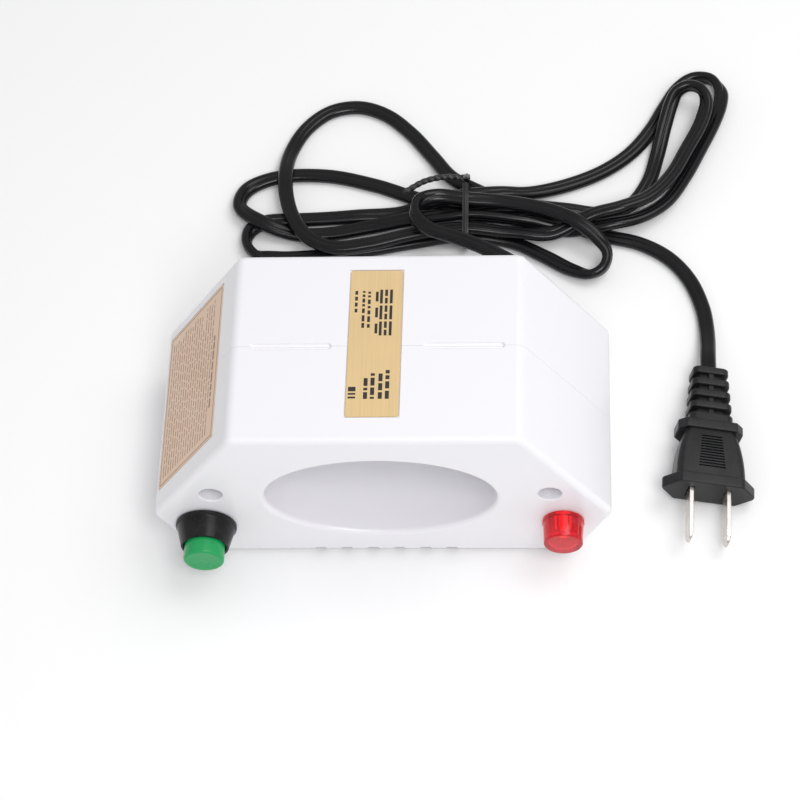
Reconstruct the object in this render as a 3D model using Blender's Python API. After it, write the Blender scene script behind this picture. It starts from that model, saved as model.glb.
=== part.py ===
"""Watchmaker's demagnetizer: a bench-top box with an elliptical tunnel through an alternating-current coil.

Units are metres and +Z is up. The front face, with the push button and the lamp, looks along -Y.
The origin is on the surface that the feet stand on, midway between the ends of what reaches out in front
(the button) and behind (the cord's strain relief), with the mains cord itself left out of that count.
"""

from math import cos, pi, radians, sin

import bmesh
import bpy
from mathutils import Matrix, Vector

MM = 0.001
GAP = 0.3 * MM  # between pieces that touch or rest on each other
OVERSHOOT = 1.0 * MM  # how far a cutter or a joined piece passes what it meets

# Case, seen from the front as an octagon whose widest band sits low
CASE_WIDTH = 150.0 * MM
UPPER_LEAN = 28.5 * MM  # how far each upper side leans in
LOWER_LEAN = 11.5 * MM  # how far each lower side leans in
CASE_DEPTH = 72.0 * MM
BAND_LOW = 22.5 * MM  # height of the widest band's lower edge above the underside
BAND_HIGH = 25.5 * MM
CORNER_RADIUS = 4.0 * MM
TIGHTEST_CORNER = 1.0 * MM
FACE_FILLET = 2.2 * MM
WALL = 2.4 * MM
LIP_WALL = 1.2 * MM
LIP_REACH = 2.5 * MM

# Feet
FOOT_RADIUS = 5.0 * MM
FOOT_LIFT = 1.5 * MM
FOOT_RECESS = 1.2 * MM
FOOT_INSET_X = 11.5 * MM  # from the underside's side edge
FOOT_INSET_Y = 11.0 * MM  # from the front or rear face

# Tunnel and coil
TUNNEL_WIDTH = 75.4 * MM
TUNNEL_HEIGHT = 45.4 * MM
TUNNEL_FLOOR = 12.2 * MM  # from the underside to the tunnel
TUNNEL_COVER = 12.9 * MM  # from the tunnel to the top
TUNNEL_WALL = 2.0 * MM
BOBBIN_WALL = 1.5 * MM
BOBBIN_CLEARANCE = 0.5 * MM
BOBBIN_LENGTH = 50.0 * MM
BOBBIN_FLANGE = 2.0 * MM
WINDING_DEPTH = 2.8 * MM
TAPE_THICKNESS = 0.6 * MM
FLANGE_RIM = 0.4 * MM  # how far the flange stands above the tape

# Snap grooves on the seam, vents, labels
SLOT_STEPS = 6  # flats round each end of a slot
GROOVE_LENGTH = 26.0 * MM
GROOVE_WIDTH = 2.3 * MM
GROOVE_DEPTH = 0.8 * MM
GROOVE_OFFSET = 27.8 * MM
VENT_COUNT = 6
VENT_PITCH = 8.8 * MM
VENT_WIDTH = 3.5 * MM
VENT_HEIGHT = 2.6 * MM
VENT_LENGTH = 24.0 * MM
RELIEF_LENGTH = 69.0 * MM
RELIEF_DEPTH = 0.5 * MM
LABEL_THICKNESS = 0.3 * MM
TOP_LABEL_SIZE = (17.0 * MM, 56.0 * MM)
TOP_LABEL_CENTRE = (-0.8 * MM, 1.3 * MM)
SIDE_LABEL_LENGTH = 59.0 * MM
SIDE_LABEL_WIDTH = 40.5 * MM
SIDE_LABEL_Y = 1.6 * MM
SIDE_LABEL_START = 1.8 * MM  # along the slope, from the widest band

# Case screws
SCREW_SPACING = 110.0 * MM
SCREW_HEIGHT = 37.5 * MM  # above the underside
SCREW_HEAD_RADIUS = 3.2 * MM
SCREW_HEAD_HEIGHT = 2.2 * MM
SCREW_SHANK_RADIUS = 1.5 * MM
SCREW_LENGTH = 32.0 * MM
SCREW_CROWN = 0.8  # shares of the head's radius: its flat crown, the cross's arms and their half-width
CROSS_ARM = 0.55
CROSS_HALF_WIDTH = 0.14
SCREW_RECESS_RADIUS = 3.8 * MM
SCREW_RECESS_DEPTH = 22.0 * MM
BOSS_RADIUS = 5.6 * MM

# Push button and its switch
BUTTON_X = -58.6 * MM
BUTTON_HEIGHT = 18.5 * MM  # above the underside
BEZEL_RIM_RADIUS = 10.1 * MM
BEZEL_NOSE_RADIUS = 7.95 * MM
BEZEL_LENGTH = 8.5 * MM
BEZEL_NECK_RADIUS = 7.9 * MM
BEZEL_NECK_LENGTH = 12.0 * MM
BEZEL_FLOOR = 2.0 * MM
CAP_RADIUS = 6.7 * MM
CAP_LENGTH = 13.0 * MM
CAP_PROUD = 5.3 * MM
CAP_FILLET = 0.7 * MM
BUTTON_TRAVEL = 2.5 * MM
ROD_RADIUS = 2.2 * MM
ROD_COLLAR_RADIUS = 3.3 * MM
ROD_HEAD_RADIUS = 5.2 * MM
ROD_HEAD_LENGTH = 2.0 * MM
COLLAR_LENGTH = 3.0 * MM
SPRING_RADIUS = 4.1 * MM
SPRING_WIRE_RADIUS = 0.35 * MM
SPRING_TURNS = 4
SPRING_STEPS = 14  # points in one turn
RING_NUT_RADIUS = 9.8 * MM
RING_NUT_LENGTH = 3.0 * MM
SWITCH_RADIUS = 9.7 * MM
SWITCH_WALL = 1.7 * MM
SWITCH_LENGTH = 19.0 * MM
BRIDGE_LENGTH = 13.0 * MM
BRIDGE_WIDTH = 6.4 * MM
METAL_SHEET = 0.8 * MM
CONTACT_INNER = 4.0 * MM  # from the button's axis to the contact pad's inner edge
CONTACT_OUTER = 6.4 * MM
CONTACT_WIDTH = 4.0 * MM
CONTACT_AIR = 0.1 * MM  # left between bridge and pads at full travel
TERMINAL_REACH = 4.0 * MM

# Indicator lamp
LAMP_X = 59.2 * MM
LAMP_HEIGHT = 20.5 * MM  # above the underside
LENS_BASE_RADIUS = 6.9 * MM
LENS_NOSE_RADIUS = 6.4 * MM
LENS_LENGTH = 8.9 * MM
LENS_FILLET = 0.6 * MM
LENS_WALL = 1.2 * MM
LENS_NECK_RADIUS = 5.8 * MM
LENS_NECK_LENGTH = 7.0 * MM
LAMP_CLIP_RADIUS = 8.4 * MM
LAMP_CLIP_THICKNESS = 1.2 * MM
BULB_RADIUS = 2.4 * MM
BULB_LENGTH = 15.0 * MM
HOLDER_RADIUS = 7.0 * MM
HOLDER_LENGTH = 12.0 * MM
HOLDER_SOCKET = 4.0 * MM

# Cord outlet
OUTLET_X = 52.0 * MM
OUTLET_HEIGHT = 16.5 * MM  # above the underside
OUTLET_NECK = (4.6 * MM, 3.4 * MM)  # half-width and half-height through the wall
OUTLET_FLANGE = (6.4 * MM, 5.2 * MM)
OUTLET_FLANGE_THICKNESS = 2.4 * MM
OUTLET_TAIL_START = (4.4 * MM, 3.4 * MM)
OUTLET_TAIL_END = (3.4 * MM, 2.5 * MM)
OUTLET_TAIL_LENGTH = 11.4 * MM
OUTLET_RIBS = 3
RIB_END = 0.5  # pitches from the last rib to a ribbed tail's end
SECTION_ROUNDING = 0.6  # corner radius of the moulded cross-sections, as a share of the half-height
OUTLET_RIB_DEPTH = 0.8 * MM

# Inner wiring
LEAD_RADIUS = 0.9 * MM
SPLICE_RADIUS = 2.6 * MM
LEAD_STUB = 4.0 * MM  # straight run at each end of a lead
LIVE_SPLICE = (53.5 * MM, 8.5 * MM)  # X and height above the underside
NEUTRAL_SPLICE = (60.0 * MM, 23.5 * MM)
SPLICE_LENGTH = 12.0 * MM
SPLICE_FRONT = 8.0 * MM  # behind the seam
RESISTOR_RADIUS = 1.8 * MM
RESISTOR_LENGTH = 7.0 * MM
RESISTOR_WIRE_RADIUS = 0.45 * MM
RESISTOR_WIRE_LENGTH = 2.5 * MM
LAMP_LEAD_SPREAD = 3.0 * MM

# Mains cord and plug
CORD_THICKNESS = 3.4 * MM
CORD_STEP = 28.0 * MM  # longest run between two points of the tube
CORD_STUB = 7.6 * MM  # straight run behind the outlet
CORD_TURN = radians(34.0)  # largest turn between two points of the tube
PLUG_X = 109.2 * MM  # where the cord enters the plug
PLUG_AHEAD = 6.7 * MM  # from the rear face forward to the same place
PLUG_TURN = radians(2.0)  # about the vertical, from pointing along -Y
PLUG_ROLL = radians(12.0)  # about its own length, its right side down
PLUG_FLANGE_HEIGHT = 13.0 * MM
PLUG_TAIL_LENGTH = 22.0 * MM
PLUG_TAIL_START = (6.2 * MM, 4.6 * MM)
PLUG_TAIL_END = (7.6 * MM, 5.4 * MM)
PLUG_RIBS = 4
PLUG_RIB_DEPTH = 1.8 * MM
PLUG_COLLAR = (11.2 * MM, 5.9 * MM)
PLUG_COLLAR_LENGTH = 3.6 * MM
PLUG_NECK = (8.0 * MM, 4.8 * MM)
PLUG_BELL = (11.8 * MM, 5.6 * MM)
PLUG_BELL_LENGTH = 18.0 * MM
BELL_STEPS = 5
BELL_SWELL = 0.78  # below one, the bell swells early
PLUG_FLANGE_WIDTH = 33.0 * MM
PLUG_FLANGE_THICKNESS = 4.0 * MM
PLUG_FLANGE_SLANT = 5.85 * MM  # width of the slanted edge at each side
PLUG_FLANGE_CORNER = 2.0 * MM
BLADE_ROOT = 8.0 * MM
BLADE_SPACING = 12.7 * MM
BLADE_WIDTH = 6.3 * MM
BLADE_THICKNESS = 1.5 * MM
BLADE_LENGTH = 19.0 * MM
TIE_RADIUS = 0.5 * MM
ROUTE_CORD = 3.4 * MM  # thickness the routes below are drawn for
ROUTE_REAR = 36.0 * MM  # Y of the rear face they are drawn for
BUNDLE_Y = 103.2 * MM  # middle of the bundle where the tie goes round it

# Places that follow from the sizes above
FRONT_REACH = CASE_DEPTH / 2 + GAP + BEZEL_LENGTH + CAP_PROUD
REAR_REACH = CASE_DEPTH / 2 + GAP + OUTLET_FLANGE_THICKNESS + OUTLET_TAIL_LENGTH
SEAM_Y = (FRONT_REACH - REAR_REACH) / 2
FRONT_Y = SEAM_Y - CASE_DEPTH / 2
REAR_Y = SEAM_Y + CASE_DEPTH / 2
BASE_Z = FOOT_LIFT
CASE_HEIGHT = TUNNEL_FLOOR + TUNNEL_HEIGHT + TUNNEL_COVER
CASE_TOP_WIDTH = CASE_WIDTH - 2 * UPPER_LEAN
CASE_BASE_WIDTH = CASE_WIDTH - 2 * LOWER_LEAN
TOP_Z = BASE_Z + CASE_HEIGHT
TUNNEL_Z = BASE_Z + TUNNEL_FLOOR + TUNNEL_HEIGHT / 2
SCREW_Z = BASE_Z + SCREW_HEIGHT
BUTTON_Z = BASE_Z + BUTTON_HEIGHT
LAMP_Z = BASE_Z + LAMP_HEIGHT
OUTLET_Z = BASE_Z + OUTLET_HEIGHT

# The cord's free route in millimetres, chosen by hand: from the outlet's tail to and fro through the tie,
# round the wide arch on the left, under the bundle and on to the plug.
CORD_ROUTE = (
    (49.5, 64.5, 16.8), (44, 70, 15.8), (37, 75.5, 14.6), (29, 80.8, 13.7), (19.5, 85.4, 13.2),
    (11.4, 89, 13), (6.6, 95, 12.6), (7.4, 101, 12), (13.6, 104.4, 11), (24.5, 103.6, 10.3),
    (37, 102.8, 9.6), (49, 100, 10.2), (57.4, 96.6, 11), (65, 92.2, 11), (71.8, 86.8, 9.2),
    (75.2, 81.4, 6.9), (73.8, 76.6, 5.2), (69.2, 74.6, 3.8), (62.4, 77.4, 2.6), (53, 83.6, 1.9),
    (42, 89.5, 2), (24.5, 91.8, 3.8), (6, 90.4, 2), (-13, 87, 1.8), (-31, 84.6, 1.8), (-44, 83.9, 1.8),
    (-50.8, 85.2, 1.8), (-54.6, 89.8, 1.8), (-54, 95.4, 1.8), (-49.2, 99.4, 1.8), (-42.4, 100.6, 1.8),
    (-34, 101, 1.8), (-16, 102, 1.8), (2, 103, 2.4), (13.5, 105.6, 6.8), (24.5, 107.6, 6.8), (37, 109, 6.4),
    (48, 111.4, 3), (61, 115.4, 1.8), (74, 121.4, 1.8), (84.5, 129.8, 1.8), (92, 140, 1.8),
    (97.6, 151, 1.8), (102.6, 159.4, 2), (108.6, 163.6, 2.6), (114.6, 162.8, 3.2), (118, 157.4, 3.7),
    (117.6, 150.4, 3.9), (114.6, 141, 4), (109.6, 129.6, 4), (103.6, 116.6, 4.4), (96.4, 104.8, 5.2),
    (87, 97.6, 6.2), (77, 94.6, 6.8), (68, 93.7, 5.3), (61, 94.1, 3.7), (54, 95, 4.2), (48, 96.2, 5.2),
    (42, 97.2, 6), (24.5, 98.8, 6.7), (7, 98.4, 6), (-10, 96.6, 3.2), (-25, 94.6, 1.8), (-38, 94.2, 2.8),
    (-50, 98, 5.4), (-58, 106, 3.4), (-56, 114.6, 1.8), (-45, 120.2, 1.8), (-27, 120.8, 1.8),
    (-9, 116.2, 1.8), (7, 109.8, 1.8), (24.5, 104, 3.1), (38, 103.2, 5.4), (49, 103, 5.6), (61, 102, 5.4),
    (74, 101.8, 3), (84, 106.4, 1.8), (90.4, 116, 1.8), (94, 128, 2.4), (97, 140, 5), (99.6, 148.2, 7.8),
    (102, 152.9, 8.9), (106.2, 154.7, 9.7), (110.4, 152.9, 9.9), (112.2, 147.6, 9.4), (110.2, 138.6, 8.8),
    (104.2, 125.6, 8.6), (98.6, 114.4, 8.8), (90.6, 104.6, 9.8), (81, 99.4, 10.8), (70, 97, 9.2),
    (62.6, 93.8, 7.4), (55, 91, 6), (40, 91.9, 5.8), (24.5, 93, 7.2), (6, 91.6, 5.6), (-10, 87.6, 5.4),
    (-23, 86.2, 5.4), (-32, 90.2, 5.9), (-37.6, 98, 6.2), (-40.8, 108, 5.9), (-41.8, 119, 5.8),
    (-40.4, 132, 2.6), (-35, 143.4, 1.8), (-26.5, 150.8, 1.8), (-16, 152.6, 1.8), (-6, 148.8, 1.8),
    (3.5, 140, 1.8), (12, 128.5, 2.2), (19, 118.5, 3.2), (27.5, 112.8, 3.2), (37, 108.8, 1.8),
    (48, 104, 1.8), (62, 97.4, 1.8), (75, 92.4, 1.8), (87, 89, 1.8), (97, 82.6, 1.8), (104.2, 73, 1.8),
    (108.4, 61, 1.9), (109.5, 52, 2.7), (109.6, 44, 4.9), (109.3, 36.5, 7.5),
)

# The tie's wire in millimetres: its tail, then once round the bundle.
TIE_ROUTE = (
    (3, 103.5, 15), (10, 108.5, 14.6), (17, 111, 13.6), (23.2, 111.5, 12.6), (24.5, 108.5, 13),
    (24.6, 103.2, 13.3), (24.6, 98, 11.4), (24.6, 91.4, 10.2), (24.6, 87.8, 7.2), (24.6, 87.4, 3),
    (24.6, 90.6, 0.85), (24.6, 98, 0.8), (24.6, 105, 0.7), (24.6, 112.5, 0.8), (24.6, 117.6, 1.1),
    (24.6, 119, 3.6), (24.6, 115.8, 7.6), (24.6, 112.4, 10.8),
)


# ---------------------------------------------------------------- helpers


def clear_scene():
    """Remove whatever the open file holds."""
    for thing in list(bpy.data.objects):
        bpy.data.objects.remove(thing, do_unlink=True)


def material(name, colour, roughness, metallic=0.0, alpha=1.0):
    """A plain Principled BSDF finish."""
    finish = bpy.data.materials.new(name)
    finish.use_nodes = True
    shader = finish.node_tree.nodes["Principled BSDF"]
    shader.inputs["Base Color"].default_value = (*colour, 1.0)
    shader.inputs["Roughness"].default_value = roughness
    shader.inputs["Metallic"].default_value = metallic
    shader.inputs["Alpha"].default_value = alpha
    return finish


def finish_object(name, mesh, finish, location=(0.0, 0.0, 0.0)):
    """Link a mesh as a smooth-shaded object whose hard edges stay sharp."""
    mesh.materials.append(finish)
    mesh.shade_smooth()
    mesh.set_sharp_from_angle(angle=radians(35.0))
    piece = bpy.data.objects.new(name, mesh)
    piece.location = location
    bpy.context.collection.objects.link(piece)
    return piece


def mesh_from(name, build):
    """Run a bmesh-building function, close and orient its faces, and return the mesh."""
    shape = bmesh.new()
    build(shape)
    bmesh.ops.recalc_face_normals(shape, faces=shape.faces)
    mesh = bpy.data.meshes.new(name)
    shape.to_mesh(mesh)
    shape.free()
    return mesh


def loft(shape, rings, closed=False):
    """Bridge rings of equal point counts, capping both ends unless the last ring meets the first."""
    loops = [[shape.verts.new(point) for point in ring] for ring in rings]
    pairs = list(zip(loops, loops[1:] + loops[:1])) if closed else list(zip(loops, loops[1:]))
    count = len(loops[0])
    for near, far in pairs:
        for i in range(count):
            j = (i + 1) % count
            shape.faces.new((near[i], near[j], far[j], far[i]))
    if not closed:
        shape.faces.new(loops[0])
        shape.faces.new(loops[-1])


def loft_object(name, rings, finish, closed=False, location=(0.0, 0.0, 0.0)):
    """One closed body lofted through rings of points."""
    return finish_object(name, mesh_from(name, lambda shape: loft(shape, rings, closed)), finish, location)


def circle(radius, segments, x=0.0, z=0.0):
    """Points round a circle in the XZ plane."""
    angles = [2 * pi * i / segments for i in range(segments)]
    return [(x + radius * cos(a), z + radius * sin(a)) for a in angles]


def ellipse(half_width, half_height, segments, x=0.0, z=0.0):
    """Points round an ellipse in the XZ plane."""
    angles = [2 * pi * i / segments for i in range(segments)]
    return [(x + half_width * cos(a), z + half_height * sin(a)) for a in angles]


def at_y(outline, y):
    """Lift an XZ outline to a ring of points at one depth."""
    return [(x, y, z) for x, z in outline]


def turned_y(name, profile, finish, x, z, segments=24, location_y=0.0):
    """Turn a closed profile of (radius, y) points about an axis along Y.

    A profile that starts and ends on the axis makes a solid piece, otherwise a ring.
    """
    solid = profile[0][0] == 0.0
    body = profile[1:-1] if solid else profile
    rings = [at_y(circle(radius, segments), y) for radius, y in body]
    return loft_object(name, rings, finish, closed=not solid, location=(x, location_y, z))


def prism_y(name, outline, y_front, y_back, finish):
    """A straight prism along Y."""
    return loft_object(name, [at_y(outline, y_front), at_y(outline, y_back)], finish)


def box(name, low, high, finish):
    """An axis-aligned block between two corners."""
    (x0, y0, z0), (x1, y1, z1) = low, high
    outline = [(x0, z0), (x1, z0), (x1, z1), (x0, z1)]
    return prism_y(name, outline, y0, y1, finish)


def offset_polygon(corners, distance):
    """Move each side of a convex, counter-clockwise polygon inwards by a distance."""
    moved = []
    count = len(corners)
    for i in range(count):
        before = Vector(corners[i - 1])
        here = Vector(corners[i])
        after = Vector(corners[(i + 1) % count])
        into = (here - before).normalized()
        out = (after - here).normalized()
        normal_in = Vector((-into.y, into.x))
        normal_out = Vector((-out.y, out.x))
        shift = (normal_in + normal_out) * distance / (1.0 + normal_in.dot(normal_out))
        moved.append(tuple(here + shift))
    return moved


def rounded_polygon(corners, radius, steps=4):
    """Replace each corner of a convex polygon by an arc, kept within a third of the shorter side."""
    outline = []
    count = len(corners)
    for i in range(count):
        before = Vector(corners[i - 1])
        here = Vector(corners[i])
        after = Vector(corners[(i + 1) % count])
        half_angle = (before - here).angle(after - here) / 2
        longest = min((before - here).length, (after - here).length) / 3
        reach = min(radius * cos(half_angle) / sin(half_angle), longest)
        arc_radius = reach * sin(half_angle) / cos(half_angle)
        inward = ((before - here).normalized() + (after - here).normalized()).normalized()
        centre = here + inward * (arc_radius / sin(half_angle))
        start = here + (before - here).normalized() * reach - centre
        end = here + (after - here).normalized() * reach - centre
        for step in range(steps + 1):
            spoke = start.lerp(end, step / steps).normalized() * arc_radius
            outline.append(tuple(centre + spoke))
    return outline


def rounded_rectangle(half_width, half_height, radius, x=0.0, z=0.0, steps=3):
    """A rectangle with round corners in the XZ plane."""
    corners = [
        (x - half_width, z - half_height),
        (x + half_width, z - half_height),
        (x + half_width, z + half_height),
        (x - half_width, z + half_height),
    ]
    return rounded_polygon(corners, radius, steps)


def combine(target, tools, operation):
    """Apply Booleans to a piece with hidden tools."""
    for tool in tools:
        tool.hide_render = True
        tool.display_type = "WIRE"
        modifier = target.modifiers.new(tool.name, "BOOLEAN")
        modifier.operation = operation
        modifier.solver = "EXACT"
        modifier.object = tool


def tube(name, points, radius, finish, resolution=2):
    """A round tube with closed ends along a row of points."""
    curve = bpy.data.curves.new(name, "CURVE")
    curve.dimensions = "3D"
    curve.bevel_depth = radius
    curve.bevel_resolution = resolution
    curve.use_fill_caps = True
    spline = curve.splines.new("POLY")
    spline.points.add(len(points) - 1)
    for control, point in zip(spline.points, points):
        control.co = (*point, 1.0)
    curve.materials.append(finish)
    piece = bpy.data.objects.new(name, curve)
    bpy.context.collection.objects.link(piece)
    return piece


def smooth_curve(points, samples=12):
    """Centripetal Catmull-Rom curve through a row of points."""
    nodes = [Vector(point) for point in points]
    nodes = [2 * nodes[0] - nodes[1], *nodes, 2 * nodes[-1] - nodes[-2]]
    curve = []
    for a, b, c, d in zip(nodes, nodes[1:], nodes[2:], nodes[3:]):
        t0 = 0.0
        t1 = t0 + (b - a).length ** 0.5
        t2 = t1 + (c - b).length ** 0.5
        t3 = t2 + (d - c).length ** 0.5
        for step in range(samples):
            t = t1 + (t2 - t1) * step / samples
            ab = a.lerp(b, (t - t0) / (t1 - t0))
            bc = b.lerp(c, (t - t1) / (t2 - t1))
            cd = c.lerp(d, (t - t2) / (t3 - t2))
            abc = ab.lerp(bc, (t - t0) / (t2 - t0))
            bcd = bc.lerp(cd, (t - t1) / (t3 - t1))
            curve.append(abc.lerp(bcd, (t - t1) / (t2 - t1)))
    curve.append(nodes[-2])
    return curve


def thin_out(curve, longest, sharpest):
    """Keep a point whenever the curve has run a length or turned an angle since the last kept one."""
    kept = [curve[0]]
    run = 0.0
    turned = 0.0
    for before, here, after in zip(curve, curve[1:], curve[2:]):
        run += (here - before).length
        turned += (here - before).angle(after - here, 0.0)
        if run >= longest or turned >= sharpest:
            kept.append(here)
            run = 0.0
            turned = 0.0
    kept.append(curve[-1])
    return kept


# ---------------------------------------------------------------- finishes

WHITE_PLASTIC = ("white_plastic", (0.88, 0.87, 0.90), 0.3)
BLACK_PLASTIC = ("black_plastic", (0.02, 0.02, 0.022), 0.35)
BLACK_PVC = ("black_pvc", (0.025, 0.025, 0.028), 0.4)
GREEN_PLASTIC = ("green_plastic", (0.02, 0.33, 0.10), 0.3)
RED_LENS = ("red_lens", (0.75, 0.01, 0.03), 0.15)
GLASS = ("bulb_glass", (0.95, 0.75, 0.6), 0.05)
NYLON = ("nylon", (0.85, 0.83, 0.76), 0.5)
COPPER = ("enamelled_copper", (0.62, 0.24, 0.10), 0.35, 0.9)
TAPE = ("insulating_tape", (0.85, 0.65, 0.12), 0.4)
NICKEL = ("nickel_plate", (0.78, 0.75, 0.72), 0.25, 1.0)
BRASS = ("brass_sheet", (0.75, 0.55, 0.25), 0.3, 1.0)
STEEL = ("zinc_plated_steel", (0.6, 0.6, 0.62), 0.35, 1.0)
RUBBER = ("rubber", (0.05, 0.05, 0.05), 0.8)
GOLD_LABEL = ("gold_label", (0.74, 0.56, 0.30), 0.35, 0.6)
PEACH_LABEL = ("peach_label", (0.80, 0.55, 0.38), 0.5)
RED_INSULATION = ("red_insulation", (0.55, 0.03, 0.03), 0.4)
BLUE_INSULATION = ("blue_insulation", (0.03, 0.08, 0.45), 0.4)
RESISTOR_BODY = ("resistor_body", (0.72, 0.60, 0.42), 0.5)


# ---------------------------------------------------------------- case


def case_corners():
    """The octagon of the case's front, counter-clockwise from the lower left."""
    base = CASE_BASE_WIDTH / 2
    band = CASE_WIDTH / 2
    top = CASE_TOP_WIDTH / 2
    return [
        (-base, BASE_Z),
        (base, BASE_Z),
        (band, BASE_Z + BAND_LOW),
        (band, BASE_Z + BAND_HIGH),
        (top, TOP_Z),
        (-top, TOP_Z),
        (-band, BASE_Z + BAND_HIGH),
        (-band, BASE_Z + BAND_LOW),
    ]


def case_outline(inset):
    """The case's rounded outline, moved inwards by an inset."""
    radius = max(CORNER_RADIUS - inset, TIGHTEST_CORNER)
    return rounded_polygon(offset_polygon(case_corners(), inset), radius)


def case_block(name, y_outer, y_seam, finish):
    """Half of the case as a solid, with a fillet round its outer face."""
    toward_seam = 1.0 if y_seam > y_outer else -1.0
    rings = []
    steps = 4
    for step in range(steps + 1):
        angle = pi / 2 * step / steps
        inset = FACE_FILLET * (1 - sin(angle))
        rings.append(at_y(case_outline(inset), y_outer + toward_seam * FACE_FILLET * (1 - cos(angle))))
    rings.append(at_y(case_outline(0.0), y_seam))
    return loft_object(name, rings, finish)


def round_cutter(name, radius, x, z, y_front, y_back, finish, segments=24):
    """A cylinder along Y used as a Boolean tool."""
    return prism_y(name, circle(radius, segments, x, z), y_front, y_back, finish)


def tunnel_outline(growth, segments=48):
    """The tunnel's ellipse, grown by a distance on each side."""
    return ellipse(TUNNEL_WIDTH / 2 + growth, TUNNEL_HEIGHT / 2 + growth, segments, 0.0, TUNNEL_Z)


def screw_places():
    """Side names and X positions of the two case screws."""
    return (("left", -SCREW_SPACING / 2), ("right", SCREW_SPACING / 2))


def foot_places():
    """Names and XY positions of the four feet."""
    x = CASE_BASE_WIDTH / 2 - FOOT_INSET_X
    y = CASE_DEPTH / 2 - FOOT_INSET_Y
    return (
        ("foot_front_left", -x, SEAM_Y - y),
        ("foot_front_right", x, SEAM_Y - y),
        ("foot_rear_left", -x, SEAM_Y + y),
        ("foot_rear_right", x, SEAM_Y + y),
    )


def upright_cylinder(name, radius, x, y, z_low, z_high, finish, segments=24):
    """A short cylinder along Z."""
    ring = circle(radius, segments, x, y)
    rings = [[(px, py, z) for px, py in ring] for z in (z_low, z_high)]
    return loft_object(name, rings, finish)


def slot_outline(length, width, x, y, z):
    """A slot with round ends lying along X, at one height."""
    flat = (length - width) / 2
    turns = [pi * step / SLOT_STEPS for step in range(SLOT_STEPS + 1)]
    right = [(flat + width / 2 * sin(turn), -width / 2 * cos(turn)) for turn in turns]
    left = [(-px, -py) for px, py in right]
    return [(x + px, y + py, z) for px, py in right + left]


def shell_cutters(side, y_outer, finish):
    """What is cut from both halves alike: tunnel, foot recesses, vents, snap grooves and label recesses."""
    inward = 1.0 if side == "front" else -1.0
    through = (y_outer - inward * OVERSHOOT, SEAM_Y + inward * OVERSHOOT)
    cutters = [prism_y(f"{side}_tunnel_cut", tunnel_outline(0.0), *sorted(through), finish)]
    for name, x, y in foot_places():
        if (y < SEAM_Y) == (side == "front"):
            top = BASE_Z + FOOT_RECESS
            radius = FOOT_RADIUS + GAP
            cutters.append(upright_cylinder(f"{name}_recess", radius, x, y, 0.0, top, finish))
    relief_far = y_outer + inward * RELIEF_DEPTH
    y_low, y_high = sorted((y_outer - inward * OVERSHOOT, relief_far))
    relief_low = (-RELIEF_LENGTH / 2, y_low, BASE_Z - OVERSHOOT)
    relief_high = (RELIEF_LENGTH / 2, y_high, BASE_Z + VENT_HEIGHT / 2 + FACE_FILLET / 2)
    cutters.append(box(f"{side}_relief", relief_low, relief_high, finish))
    for i in range(VENT_COUNT):
        x = (i - (VENT_COUNT - 1) / 2) * VENT_PITCH
        y_low, y_high = sorted((y_outer - inward * OVERSHOOT, y_outer + inward * VENT_LENGTH))
        low = (x - VENT_WIDTH / 2, y_low, BASE_Z - OVERSHOOT)
        high = (x + VENT_WIDTH / 2, y_high, BASE_Z + VENT_HEIGHT)
        cutters.append(box(f"{side}_vent_{i + 1}", low, high, finish))
    for number, x in enumerate((-GROOVE_OFFSET, GROOVE_OFFSET)):
        rings = [
            slot_outline(GROOVE_LENGTH, GROOVE_WIDTH, x, SEAM_Y, TOP_Z - GROOVE_DEPTH),
            slot_outline(GROOVE_LENGTH, GROOVE_WIDTH, x, SEAM_Y, TOP_Z + OVERSHOOT),
        ]
        cutters.append(loft_object(f"{side}_groove_{number + 1}", rings, finish))
    half_x = TOP_LABEL_SIZE[0] / 2 + GAP
    half_y = TOP_LABEL_SIZE[1] / 2 + GAP
    x, y = TOP_LABEL_CENTRE[0], SEAM_Y + TOP_LABEL_CENTRE[1]
    depth = LABEL_THICKNESS + GAP
    low = (x - half_x, y - half_y, TOP_Z - depth)
    high = (x + half_x, y + half_y, TOP_Z + OVERSHOOT)
    cutters.append(box(f"{side}_top_label_recess", low, high, finish))
    cutters.append(side_label_block(f"{side}_side_label_recess", depth, -OVERSHOOT, GAP, finish))
    return cutters


def side_label_block(name, depth, cover, margin, finish):
    """A block lying on the left upper slope, from a depth below its surface to a cover above it."""
    foot = Vector((-CASE_WIDTH / 2, BASE_Z + BAND_HIGH))
    head = Vector((-CASE_TOP_WIDTH / 2, TOP_Z))
    along = (head - foot).normalized()
    inward = Vector((along.y, -along.x))
    start = foot + along * (SIDE_LABEL_START - margin)
    end = foot + along * (SIDE_LABEL_START + SIDE_LABEL_WIDTH + margin)
    outline = [start + inward * cover, start + inward * depth, end + inward * depth, end + inward * cover]
    y = SEAM_Y + SIDE_LABEL_Y
    half = SIDE_LABEL_LENGTH / 2 + margin
    return prism_y(name, [tuple(point) for point in outline], y - half, y + half, finish)


def seam_lip(finish):
    """The ring on the rear half that reaches inside the front half across the seam."""
    inner = WALL + GAP + LIP_WALL
    sections = (
        (WALL + GAP, SEAM_Y - LIP_REACH),
        (WALL + GAP, SEAM_Y + GAP),
        (WALL - LIP_WALL / 2, SEAM_Y + GAP),
        (WALL - LIP_WALL / 2, SEAM_Y + GAP + LIP_REACH),
        (inner, SEAM_Y + GAP + LIP_REACH),
        (inner, SEAM_Y - LIP_REACH),
    )
    rings = [at_y(case_outline(inset), y) for inset, y in sections]
    return loft_object("seam_lip", rings, finish, closed=True)


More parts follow.
